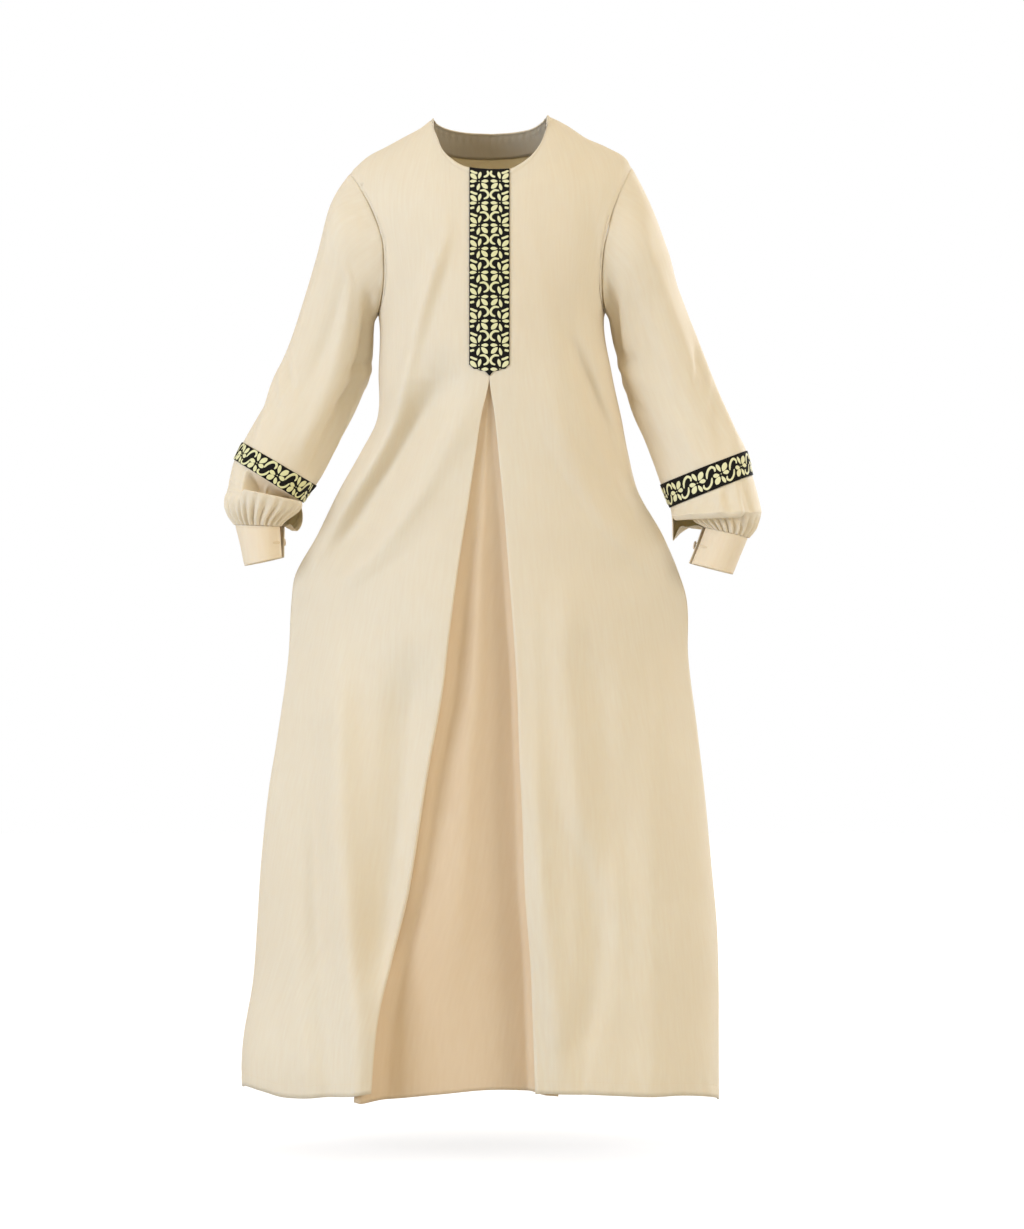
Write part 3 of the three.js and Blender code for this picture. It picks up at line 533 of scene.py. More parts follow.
def half_panel(face, side, rows):
    """Points of one front or back half, middle to side seam, top to hem."""
    columns = np.linspace(0, LAST_COLUMN, LAST_COLUMN * SUB_COLUMNS + 1)
    top_x, top_z = top_edge(face, side, columns)
    fall = (np.linspace(0, 1, rows + 1) ** ROW_BIAS)[:, None]
    hem_x = SIGN[side] * read(BODY, "z", side, -1140) * columns / LAST_COLUMN
    z = mix(top_z, read(HEM[face], "x", "z", hem_x), fall)
    if face == "front":
        middle = read(PLEAT, "z", side, np.minimum(z, PLEAT_TIP))
        first = read(PLEAT, "z", "roll", np.minimum(z, PLEAT_TIP))
        top_x = np.where(columns < 2, mix(first[0, 0], TRIM_HALF_WIDTH, columns / 2), top_x)
    else:
        middle = first = np.zeros_like(z)
    start_x = np.minimum(top_x, np.where(
        columns < NECK_COLUMNS, NECK[face][side]["x"][-1] - 1.5 * (NECK_COLUMNS - columns), 999,
    ))
    out = column_out(side, columns, start_x, top_z, z, middle, first)
    out += (top_x - start_x) * np.exp((z - top_z) / 4)
    out[0] = top_x
    points = body_points(face, side, out, z)
    points[0, columns >= NECK_COLUMNS, 1] *= np.where(columns[columns >= NECK_COLUMNS] < TIP_COLUMN, 0, 1)
    points[1:, -1, 1] = 0
    return columns, points


def armhole_curve(side, face, places):
    x, z = along(ARMHOLE[side]["x"], ARMHOLE[side]["z"], places)
    points = body_points(face, side, x, z)
    points[(places <= 0) | (places >= 1), 1] = 0
    return points


def outward(points, face):
    """Unit directions of a grid of points, away from the body's middle."""
    normals = grid_normals(points)
    toward = -1 if face == "front" else 1
    return normals * np.where(np.sum(normals[..., 1] * toward) < 0, -1, 1)


def body_ripple(face, x, z, from_top):
    return ripple(x, z, 11 if face == "front" else 12, 120, 1.1) * smooth(0, 30, from_top)


def panel_detail(face, side, columns, points):
    """Seam grooves, turned edges and small puckers on a body half."""
    normals = outward(points, face)
    if face == "back":
        normals[:, 0, 0] = 0
        normals[:, 0] = unit(normals[:, 0])
    from_top = lengths_from(points, 0)
    from_side = lengths_from(points, 1, reverse=True)
    from_hem = lengths_from(points, 0, reverse=True)
    x, z = points[..., 0], points[..., 2]
    hole_x, hole_z = along(ARMHOLE[side]["x"], ARMHOLE[side]["z"], np.linspace(0, 1, 60))
    from_hole = np.min(np.hypot(np.abs(x)[..., None] - hole_x, z[..., None] - hole_z), axis=-1)
    at_neck = columns <= NECK_COLUMNS
    at_shoulder = (columns >= NECK_COLUMNS) & (columns <= TIP_COLUMN)
    round_neck = np.cumsum(np.concatenate([[0], np.linalg.norm(np.diff(points[0], axis=0), axis=1)]))
    total = body_ripple(face, x, z, from_top) * smooth(0, 30, from_side)
    total -= 1.3 * bell(from_side, 2.4) * (z < ARMPIT[side])
    total -= 1.0 * bell(from_hole, 2.4) * (z > ARMPIT[side] - 12)
    total += 0.5 * bell(from_hole - 6, 2.5) * (z > ARMPIT[side] - 4)
    total -= 1.2 * bell(from_top, 2.4) * at_shoulder
    pucker = np.sin(round_neck * 2 * math.pi / 8.5 + 1.6 * np.sin(round_neck / 17))
    band = bell(from_top - EDGE_STITCH, 5)
    neck = 0.32 * pucker * band - 0.55 * bell(from_top - EDGE_STITCH, 1.2)
    neck += 0.5 * smooth(EDGE_STITCH, EDGE_STITCH - 3, from_top) - 1.2 * bell(from_top, 1.3)
    total += neck * at_neck
    drift = np.sin(x * 2 * math.pi / 19 + 2.2 * np.sin(x / 43))
    hem = 0.45 * drift * bell(from_hem - HEM_DEPTH, 9)
    hem -= 0.6 * bell(from_hem - HEM_DEPTH, 1.4)
    hem += 0.35 * smooth(HEM_DEPTH, HEM_DEPTH - 3, from_hem)
    total += hem * smooth(0, 12, from_side)
    return points + normals * total[..., None], normals


def add_return(points, normals):
    """The rolled pleat edge and the cloth turned back behind it."""
    roll = read(PLEAT, "z", "roll", np.minimum(points[:, 0, 2], PLEAT_TIP))[:, None]
    tangent = unit(points[:, 1] - points[:, 0])
    normal = unit(normals[:, 0] - tangent * np.sum(normals[:, 0] * tangent, axis=1, keepdims=True))
    centre = points[:, 0] - normal * roll
    turned = [
        centre + normal * roll * math.cos(turn) - tangent * roll * math.sin(turn)
        for turn in np.linspace(0, math.pi, 8)[1:]
    ]
    back = []
    distances = lengths_from(points, 1)
    for reach in np.linspace(0, RETURN_WIDTH, 9)[1:]:
        column = int(np.argmin(np.abs(distances[len(points) // 2] - reach)))
        back.append(points[:, column] - normals[:, column] * 2 * roll)
    return np.concatenate([np.stack(back[::-1] + turned[::-1], axis=1), points], axis=1)


# ------------------------------------------------------------------ meshes
def mesh_object(name, vertices, faces, uvs=None, edges=()):
    mesh = bpy.data.meshes.new(name)
    mesh.from_pydata([tuple(v) for v in vertices], edges, [tuple(f) for f in faces])
    mesh.polygons.foreach_set("use_smooth", [True] * len(mesh.polygons))
    if uvs is not None:
        layer = mesh.uv_layers.new(name="cloth")
        loops = np.empty(len(mesh.loops), dtype=int)
        mesh.loops.foreach_get("vertex_index", loops)
        layer.data.foreach_set("uv", np.asarray(uvs)[loops].ravel())
    mesh.update()
    obj = bpy.data.objects.new(name, mesh)
    bpy.context.scene.collection.objects.link(obj)
    return obj


def cloth_grid(name, points, thick, away, wrap=False, uv=None):
    """A thin shell on a grid of points in millimetres. away gives, for each
    point, a direction that its outer face looks to."""
    rows, columns = points.shape[:2]
    spans = columns if wrap else columns - 1
    r, c = np.meshgrid(np.arange(rows - 1), np.arange(spans), indexing="ij")

    def corner(down, right):
        return ((r + down) * columns + (c + right) % columns).ravel()

    faces = np.stack([corner(0, 0), corner(1, 0), corner(1, 1), corner(0, 1)], axis=1)
    facing = np.sum(grid_normals(points, wrap) * away)
    across_then_down = np.cross(points[0, 1] - points[0, 0], points[1, 0] - points[0, 0])
    direct = np.sum(across_then_down * grid_normals(points, wrap)[0, 0]) > 0
    if (facing > 0) == direct:
        faces = faces[:, ::-1]
    if uv is None:
        uv = np.stack([lengths_from(points, 1), lengths_from(points, 0)], axis=-1)
    obj = mesh_object(name, points.reshape(-1, 3) * MM, faces, uv.reshape(-1, 2) * MM)
    shell = obj.modifiers.new("thickness", "SOLIDIFY")
    shell.thickness = thick * MM
    shell.offset = -1
    shell.use_even_offset = False
    return obj


def dress(obj, node, material=None):
    """Hangs a piece on the frame in a node's place."""
    if material:
        obj.data.materials.append(material)
    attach(obj, "root")
    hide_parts(node)


def dress_cloth(obj, node, material):
    dress(obj, node, material)


# ------------------------------------------------------------------ materials
def linear(colour):
    """A colour of three 0 to 255 screen values, as Blender's linear values."""
    steps = [value / 255 for value in colour]
    return [v / 12.92 if v <= 0.04045 else ((v + 0.055) / 1.055) ** 2.4 for v in steps] + [1]


def fill(tree, node, inputs):
    """Sets a node's inputs, each to a value or to another node's output."""
    for name, value in inputs.items():
        if hasattr(value, "is_output"):
            tree.links.new(value, node.inputs[name])
        else:
            node.inputs[name].default_value = value


def add_node(tree, kind, inputs=None, **settings):
    node = tree.nodes.new(kind)
    for name, value in settings.items():
        setattr(node, name, value)
    fill(tree, node, inputs or {})
    return node


def maths(tree, kind, first, second=0.0):
    return add_node(tree, "ShaderNodeMath", {0: first, 1: second}, operation=kind).outputs[0]


def add_socket(tree, name, way, kind, value=None):
    socket = tree.interface.new_socket(name=name, in_out=way, socket_type="NodeSocket" + kind)
    if value is not None:
        socket.default_value = value


def new_shader(name):
    """A material, its tree and its main shader."""
    material = bpy.data.materials.new(name)
    material.use_nodes = True
    return material, material.node_tree, material.node_tree.nodes["Principled BSDF"]


def weave_group():
    """Fine plain weave: threads over and under along a piece's own UV."""
    tree = bpy.data.node_groups.new("plain weave", "ShaderNodeTree")
    add_socket(tree, "Thread", "INPUT", "Float", 0.0005)
    add_socket(tree, "Slub", "INPUT", "Float", 0.3)
    add_socket(tree, "Height", "OUTPUT", "Float")
    add_socket(tree, "Shade", "OUTPUT", "Float")
    inlet = tree.nodes.new("NodeGroupInput")
    outlet = tree.nodes.new("NodeGroupOutput")
    uv = add_node(tree, "ShaderNodeUVMap", uv_map="cloth").outputs["UV"]
    split = add_node(tree, "ShaderNodeSeparateXYZ", {0: uv})
    waves = []
    for axis in ("X", "Y"):
        turns = maths(tree, "DIVIDE", split.outputs[axis], inlet.outputs["Thread"])
        waves.append(maths(tree, "SINE", maths(tree, "MULTIPLY", turns, math.pi)))
    cross = maths(tree, "MULTIPLY", waves[0], waves[1])
    stretch = add_node(tree, "ShaderNodeMapping", {"Scale": (1, 0.12, 1), "Vector": uv})
    slub = add_node(tree, "ShaderNodeTexNoise", {
        "Scale": 240, "Detail": 3, "Vector": stretch.outputs["Vector"],
    })
    uneven = maths(tree, "MULTIPLY", slub.outputs["Fac"], inlet.outputs["Slub"])
    fill(tree, outlet, {"Height": maths(tree, "ADD", cross, uneven), "Shade": slub.outputs["Fac"]})
    return tree


def woven_material(name, light, dark, thread, roughness, sheen, bump, glow=0.0):
    """Woven cloth: two close colours, a thread bump and a soft sheen."""
    material, tree, shader = new_shader(name)
    cloth = add_node(tree, "ShaderNodeGroup", node_tree=WEAVE)
    fill(tree, cloth, {"Thread": thread, "Slub": 0.5})
    place = add_node(tree, "ShaderNodeTexCoord")
    drift = add_node(tree, "ShaderNodeTexNoise", {
        "Scale": 5, "Detail": 4, "Vector": place.outputs["Object"],
    })
    both = maths(tree, "MULTIPLY", drift.outputs["Fac"], cloth.outputs["Shade"])
    spread = add_node(tree, "ShaderNodeMapRange", {"From Min": 0.12, "From Max": 0.4, "Value": both})
    tone = add_node(tree, "ShaderNodeMix", {
        "A": linear(dark), "B": linear(light), "Factor": spread.outputs["Result"],
    }, data_type="RGBA")
    relief = add_node(tree, "ShaderNodeBump", {
        "Strength": bump, "Distance": 0.0002, "Height": cloth.outputs["Height"],
    })
    fill(tree, shader, {
        "Base Color": tone.outputs["Result"],
        "Normal": relief.outputs["Normal"],
        "Roughness": roughness,
        "Specular IOR Level": 0.3,
        "Subsurface Weight": glow,
        "Subsurface Radius": (1.0, 0.84, 0.62),
        "Subsurface Scale": 0.0025,
        "Sheen Weight": sheen,
        "Sheen Roughness": 0.45,
        "Sheen Tint": linear((255, 246, 228)),
    })
    return material


def button_material():
    material, tree, shader = new_shader("button resin")
    place = add_node(tree, "ShaderNodeTexCoord")
    swirl = add_node(tree, "ShaderNodeTexWave", {
        "Scale": 90, "Distortion": 6, "Vector": place.outputs["Object"],
    })
    tone = add_node(tree, "ShaderNodeMix", {
        "A": linear((214, 196, 166)), "B": linear((238, 228, 208)), "Factor": swirl.outputs["Fac"],
    }, data_type="RGBA")
    fill(tree, shader, {"Base Color": tone.outputs["Result"], "Roughness": 0.28, "Coat Weight": 0.3})
    return material


WEAVE = weave_group()
CREAM = woven_material("cream cloth", (236, 224, 198), (233, 218, 190), 0.00042, 0.6, 0.3, 0.25, 0.4)
# The underlay is the same cream cloth. Its darker, warmer colours are painted shade for the recess of the
# pleat.
SHADED_UNDERLAY = woven_material(
    "underlay cloth with painted shade", (230, 206, 172), (226, 200, 164), 0.00042, 0.6, 0.3, 0.25, 0.4,
)
BLACK = woven_material("ribbon ground", (12, 9, 6), (5, 4, 3), 0.0006, 0.85, 0.0, 0.5)
LEAF = woven_material("flower thread", (236, 236, 200), (216, 216, 156), 0.0004, 0.45, 0.3, 0.5)
THREAD = woven_material("sewing thread", (238, 222, 190), (226, 206, 168), 0.0003, 0.5, 0.2, 0.3)
RESIN = button_material()


# ------------------------------------------------------------------ body pieces
PANEL = {}
for face, rows in (("front", FRONT_ROWS), ("back", BACK_ROWS)):
    for side in SIGN:
        columns, points = half_panel(face, side, rows)
        PANEL[face, side] = columns, *panel_detail(face, side, columns, points)


def make_front(side):
    columns, points, normals = PANEL["front", side]
    full = add_return(points, normals)
    away = np.zeros_like(full)
    away[:, -len(columns):] = normals
    obj = cloth_grid(f"front_{side}_cloth", full, CLOTH, away)
    dress_cloth(obj, f"front_{side}", CREAM)


def joined(face, part):
    left = PANEL[face, "left"][part]
    right = PANEL[face, "right"][part]
    return np.concatenate([left[:, :0:-1], right], axis=1)


def make_back():
    obj = cloth_grid("back_cloth", joined("back", 1), CLOTH, joined("back", 2))
    dress_cloth(obj, "back", CREAM)


def make_facing(face):
    rows = 12 if face == "front" else 10
    keep = NECK_COLUMNS * SUB_COLUMNS
    middle = LAST_COLUMN * SUB_COLUMNS
    columns = slice(middle - keep, middle + keep + 1)
    normals = joined(face, 2)[:rows, columns]
    points = joined(face, 1)[:rows, columns] - normals * (CLOTH + LAY_GAP)
    points[0] += 0.7 * unit(points[0] - points[1])
    obj = cloth_grid(f"neck_facing_{face}_cloth", points, CLOTH, normals)
    dress_cloth(obj, f"neck_facing_{face}", CREAM)


def front_points(x, z):
    """The front's surface on both sides of the middle."""
    left = body_points("front", "left", np.maximum(-x, 0), z)
    right = body_points("front", "right", np.maximum(x, 0), z)
    return np.where((x < 0)[..., None], left, right)


def make_underlay():
    rows, columns = 190, 90
    z = np.broadcast_to(np.linspace(PLEAT_TOP, UNDERLAY_HEM, rows)[:, None], (rows, columns))
    level = np.minimum(z, PLEAT_TIP)
    left = -read(PLEAT, "z", "left", level)
    right = read(PLEAT, "z", "right", level)
    roll = read(PLEAT, "z", "roll", level)
    across = np.linspace(0, 1, columns)
    lap = RETURN_WIDTH + 3
    x = mix(left - lap, right + lap, across)
    drop = read(HEM["front"], "x", "z", x) - UNDERLAY_HEM
    z = z + drop * smooth(-900, UNDERLAY_HEM, z)
    points = front_points(x, z)
    normals = outward(points, "front")
    behind = 2 * roll + CLOTH + 1.2
    depth = read(PLEAT, "z", "depth", z)
    wide = (x - left) / np.maximum(right - left, 1)
    middle = bell(wide - 0.42, 0.14) * smooth(-1120, -900, z)
    waves = 0.05 * np.cos(wide * math.pi * 3 + z / 300) - 0.24 * middle
    sink = depth * smooth(-12, 16, x - left) * smooth(-14, 8, right - x)
    sink = sink * (0.86 + 0.2 * wide + waves) * mix(0.5, 1, smooth(-400, -640, z))
    points = points - normals * behind[..., None]
    points[..., 1] += sink
    obj = cloth_grid("pleat_underlay_cloth", points, CLOTH, normals)
    # The underlay's material is painted shade: a darker copy of the cream cloth.
    dress_cloth(obj, "pleat_underlay", SHADED_UNDERLAY)


# ------------------------------------------------------------------ sleeve surfaces
def section_frames(rows, side):
    """Middles, cross directions and half sizes of a table of sections."""
    sign = SIGN[side]
    outer = np.stack([rows["outerX"] * sign, rows["middleY"], rows["outerZ"]], axis=-1)
    inner = np.stack([rows["innerX"] * sign, rows["middleY"], rows["innerZ"]], axis=-1)
    across = outer - inner
    width = np.linalg.norm(across, axis=1) / 2
    return (outer + inner) / 2, unit(across), width, rows["halfDepth"]


def section_ring(centre, across, width, depth, degrees):
    turn = np.radians(degrees)[..., None]
    return centre + across * np.cos(turn) * width + TO_FRONT * np.sin(turn) * depth


def through(rings, places):
    """Smooth rows between rings, one for each place along them."""
    count = len(rings)
    flat = rings.reshape(count, -1)
    i = np.clip(np.floor(places).astype(int), 0, count - 2)
    rows = curve(flat, np.diff(flat, axis=0), 1, i, (places - i)[:, None])
    return rows.reshape((len(places),) + rings.shape[1:])


def ring_points(middle, cross, degrees, half_width, half_depth, swell):
    """Points round a tube that swells past its half width and half depth."""
    turn = np.radians(degrees)
    points = middle + cross * (np.cos(turn) * (half_width + swell))[..., None]
    return points + TO_FRONT * (np.sin(turn) * (half_depth + swell))[..., None]


def facing_out(points, middle, wrap=False):
    """Unit directions of a grid of points, turned away from its middle."""
    normals = grid_normals(points, wrap)
    return normals * np.where(np.sum(normals * (points - middle)) < 0, -1, 1)


def sleeve_surface(side, rows, columns):
    """The sleeve from the armhole to the band, with its folds."""
    degrees = np.arange(columns) * 360 / columns
    places = np.where(degrees <= 180, degrees, 360 - degrees) / 180
    loop = np.where(
        (degrees <= 180)[:, None],
        armhole_curve(side, "front", places),
        armhole_curve(side, "back", places),
    )
    centre, across, width, depth = section_frames(SLEEVE[side], side)
    rings = np.stack([loop] + [
        section_ring(centre[i], across[i], width[i], depth[i], degrees) for i in range(len(centre))
    ])
    s = np.linspace(0, len(rings) - 1, rows)
    points = through(rings, s)
    middles = points.mean(axis=1, keepdims=True)
    normals = facing_out(points, middles, wrap=True)
    turn = np.where(degrees > 190, degrees - 360, degrees)[None, :]
    level = s[:, None]
    total = ripple(level * 40, turn, 21 if side == "left" else 22, 110, 1.0) * smooth(0, 0.6, level)
    folds = SLEEVE_FOLDS[side]
    for height, spread, s1, turn1, s2, turn2 in zip(*folds.values()):
        a = np.array([s1 * SECTION_STEP, turn1 * DEGREE_STEP])
        b = np.array([s2 * SECTION_STEP, turn2 * DEGREE_STEP])
        for lap in (-360, 0, 360):
            px, py = level * SECTION_STEP - a[0], (turn + lap) * DEGREE_STEP - a[1]
            run = b - a
            t = (px * run[0] + py * run[1]) / (run @ run)
            away = np.hypot(px - run[0] * np.clip(t, 0, 1), py - run[1] * np.clip(t, 0, 1))
            total += height * bell(away, spread) * smooth(-0.25, 0.3, t) * smooth(1.25, 0.7, t)
    total *= smooth(0, 0.5, level) * smooth(len(rings) - 1, len(rings) - 2.2, level)
    from_top = lengths_from(points, 0)
    total -= 1.0 * bell(from_top, 2.2)
    total += 0.45 * np.sin(turn / 4.2) * bell(from_top - 5, 5)
    return degrees, s, points + normals * total[..., None], normals


SLEEVES = {side: sleeve_surface(side, *SLEEVE_GRID) for side in SIGN}


def make_sleeve(side):
    degrees, s, points, normals = SLEEVES[side]
    uv = np.stack(np.meshgrid(degrees * DEGREE_STEP, s * SECTION_STEP), axis=-1)
    obj = cloth_grid(f"sleeve_{side}_cloth", points, CLOTH, normals, wrap=True, uv=uv)
    dress_cloth(obj, f"sleeve_{side}", CREAM)


def lower_surface(side):
    """The gathered lower sleeve, open at its vent."""
    sections = LOWER[side]
    centre, across, width, depth = section_frames(sections, side)
    columns = GATHERS * 12 + 1
    t = np.linspace(0, 1, columns)
    last = len(centre) - 1
    s = np.linspace(0, last, 110)
    share = (s / last)[:, None]
    opening = smooth(0.25, 1, share)
    degrees = mix(mix(VENT["closed"], VENT["frontEnd"], opening),
                  mix(VENT["closed"] - 359.4, VENT["backEnd"], opening), t)

    def column(values):
        return through(values[:, None], s)

    middle = through(centre, s)[:, None]
    cross = unit(through(across, s))[:, None]
    rng = np.random.default_rng(31 if side == "left" else 32)
    knots = np.linspace(0, 1, GATHERS + 1)
    drift = np.interp(t, knots, rng.uniform(-1.1, 1.1, GATHERS + 1))
    reach = np.interp(t, knots, rng.uniform(0.35, 1.3, GATHERS + 1))
    wave = np.cos(t * GATHERS * 2 * math.pi + drift)
    creased = 2 * np.abs(np.cos(t * GATHERS * math.pi + drift / 2)) ** 0.75 - 1
    close = smooth(0.45, 1, share)
    gather = column(sections["gather"]) * mix(wave, creased, 0.9 * close)
    gather *= np.clip(reach + 1.2 * (close - 0.4), 0.05, 1.35)
    ahead = smooth(55, 67, degrees) * smooth(178, 160, degrees)
    front = column(sections["front"]) * ahead
    lift = column(sections["lift"]) * ahead
    half_width, half_depth = column(width), column(depth)
    spring = SPRING[side][0] * opening * smooth(0.75, 1, t) * half_width
    flap = VENT_FLAP[side]
    hang = smooth(flap["start"], flap["peak"], share) * smooth(flap["end"], flap["peak"], share)
    hang = hang * smooth(0.82, 0.98, t)
    sag = flap["sag"] * smooth(0.25, 0.6, share) * smooth(1, 0.8, share) * smooth(0.6, 0.8, t)
    swell = gather + front + spring + hang * flap["out"]
    folds = LOWER_FOLDS[side]
    for height, spread, turn1, turn2, s1, s2 in zip(*folds.values()):
        reach = (s[:, None] - s1) / (s2 - s1)
        away = (degrees - mix(turn1, turn2, reach)) / spread
        swell = swell + height * np.exp(-away * away) * smooth(-0.3, 0.2, reach) * smooth(1.3, 0.8, reach)
    points = ring_points(middle, cross, degrees, half_width, half_depth, swell)
    points[..., 2] += lift - hang * flap["down"] - sag
    return points, middle


def make_lower_sleeve(side):
    points, middle = lower_surface(side)
    obj = cloth_grid(f"lower_sleeve_{side}_cloth", points, CLOTH, points - middle)
    dress_cloth(obj, f"lower_sleeve_{side}", CREAM)


def cuff_surface(side):
    centre, across, width, depth = section_frames(CUFF[side], side)
    rows, columns = CUFF_GRID
    t = np.linspace(0, 1, columns)
    s = np.linspace(0, 2, rows)
    degrees = mix(VENT["frontEnd"], VENT["backEnd"], t)
    half_width = through(width[:, None], s)
    half_depth = through(depth[:, None], s)
    spring = mix(*SPRING[side], s[:, None] / 2) * smooth(0.75, 1, t) * half_width
    middle = through(centre, s)[:, None]
    cross = unit(through(across, s))[:, None]
    points = ring_points(middle, cross, degrees, half_width, half_depth, spring)
    return points, facing_out(points, middle), degrees


def make_cuff(side):
    points, normals, degrees = cuff_surface(side)
    edge = np.minimum.reduce([
        lengths_from(points, axis, reverse) for axis in (0, 1) for reverse in (False, True)
    ])
    total = 0.5 * smooth(0, 2.2, edge) - 0.35 * bell(edge - 3, 0.9)
    total += ripple(points[..., 2], degrees, 41, 60, 0.5)
    obj = cloth_grid(f"cuff_{side}_cloth", points + normals * total[..., None], 1.5, normals)
    dress_cloth(obj, f"cuff_{side}", CREAM)


# ------------------------------------------------------------------ ribbons
# One flower of the ribbon, from its middle. Each petal has a root, a tip and
# a width, and is repeated turned half round. Scrolls are paths.
PETALS = [
    (2.5, 0.1, 10.9, -0.2, 3.9),
    (2.5, 2.3, 9.9, 9.6, 5.3),
    (0.3, 2.7, -1.8, 12.0, 3.8),
    (0.0, 0.0, 0.8, 0.0, 1.3),
]
BAND_PETALS = [
    (2.3, 0.3, 10.4, -0.6, 5.0),
    (2.4, 2.3, 9.6, 10.6, 6.2),
    (0.1, 2.7, -2.6, 12.3, 4.4),
    (0.0, 0.0, 0.8, 0.0, 1.3),
]
FRONT_SCROLLS = [
    [(-0.9, 15.6), (-6.0, 16.0), (-9.5, 13.2), (-10.5, 9.8), (-9.0, 6.9), (-5.3, 5.2)],
    [(1.9, -16.3), (4.4, -15.8), (7.0, -14.7), (9.9, -13.2)],
    [(5.4, -5.6), (7.0, -5.9), (8.6, -6.2), (10.2, -6.6)],
]
BAND_SCROLLS = [
    [(-18.0, 0.4), (-16.2, 6.0), (-13.0, 9.8), (-8.9, 11.3), (-5.9, 8.8), (-6.6, 5.2)],
    [(18.0, -0.4), (16.2, -6.0), (13.0, -9.8), (8.9, -11.3), (5.9, -8.8), (6.6, -5.2)],
]
SCROLL_WIDTH = 2.7
SCROLL_STEPS = 22
FLOWER_LEVELS = [-33.0, -60.3, -85.8, -111.4, -137.3, -164.4, -192.0, -220.0, -247.7, -275.4, -303.0]
BAND_REPEAT = 28.8
FULL_REPEAT = 27.7
FLOWER_OUT = 11.9
RIBBON_LIFT = 1.3
RELIEF = 0.4
RIBBON_END = table(["x", "z"], [
    [0, -310.5], [3, -307], [6, -304.5], [10, -304.5], [14, -302.5], [18, -302.2], [21, -299],
    [23, -297.5],
])


class Ground:
    """A ribbon's face: a grid of points with its own flat coordinates."""

    def __init__(self, points, normals, across, length, wrap=False):
        self.points, self.normals = points, normals
        self.across, self.length, self.wrap = across, length, wrap

    def place(self, a, b, height=0.0):
        """Where a place a across (columns) and b along (rows) lies."""
        rows, columns = self.points.shape[:2]
        if self.wrap:
            a = np.mod(a, self.across[-1])
        c = np.interp(a, self.across, np.arange(len(self.across)))
        r = np.interp(b, self.length, np.arange(rows))
        c0 = np.floor(c).astype(int)
        r0 = np.clip(np.floor(r).astype(int), 0, rows - 2)
        c1 = (c0 + 1) % columns if self.wrap else np.minimum(c0 + 1, columns - 1)
        c0 = c0 % columns
        fc, fr = (c - np.floor(c))[..., None], (r - r0)[..., None]

        def blend(grid):
            above = mix(grid[r0, c0], grid[r0, c1], fc)
            return mix(above, mix(grid[r0 + 1, c0], grid[r0 + 1, c1], fc), fr)

        normal = unit(blend(self.normals))
        return blend(self.points) + normal * np.asarray(height)[..., None], normal


def front_ground():
    """The face of the ribbon that runs down the front."""
    across = np.linspace(-TRIM_HALF_WIDTH, TRIM_HALF_WIDTH, 47)
    out = np.abs(across)
    top = np.where(across < 0, read(NECK["front"]["left"], "x", "z", out),
                   read(NECK["front"]["right"], "x", "z", out)) - 0.4
    z = mix(top, read(RIBBON_END, "x", "z", out), np.linspace(0, 1, 220)[:, None])
    x = np.broadcast_to(across, z.shape)
    points = front_points(x, z)
    normals = outward(points, "front")
    rise = RIBBON_LIFT + body_ripple("front", x, z, top - z)
    return Ground(points + normals * rise[..., None], normals, across, np.linspace(0, 1, 220)), top


def band_ground(side):
    """The face of the ribbon band round a sleeve."""
    _, s, points, normals = SLEEVES[side]
    rows = s >= len(SLEEVE[side]["outerX"]) - 1
    points, normals = points[rows], normals[rows]
    face = points + normals * RIBBON_LIFT
    middle = face[len(face) // 2]
    steps = np.linalg.norm(np.roll(middle, -1, 0) - middle, axis=1)
    across = np.concatenate([[0], np.cumsum(steps)])
    width = np.linalg.norm(face[-1] - face[0], axis=1).mean()
    return Ground(face, normals, across, np.linspace(0, width, len(face)), wrap=True)


def finish_tree(tree, points, instance, rotation, scale, result):
    """Puts an instance on each point, and gives the whole its finish."""
    put = add_node(tree, "GeometryNodeInstanceOnPoints", {
        "Points": points, "Instance": instance, "Rotation": rotation, "Scale": scale,
    })
    real = add_node(tree, "GeometryNodeRealizeInstances", {"Geometry": put.outputs["Instances"]})
    soft = add_node(tree, "GeometryNodeSetShadeSmooth", {"Geometry": real.outputs["Geometry"]})
    inlet = tree.nodes["Group Input"]
    done = add_node(tree, "GeometryNodeSetMaterial", {
        "Geometry": soft.outputs[0], "Material": inlet.outputs["Finish"],
    })
    fill(tree, tree.nodes["Group Output"], {result: done.outputs["Geometry"]})
    return tree


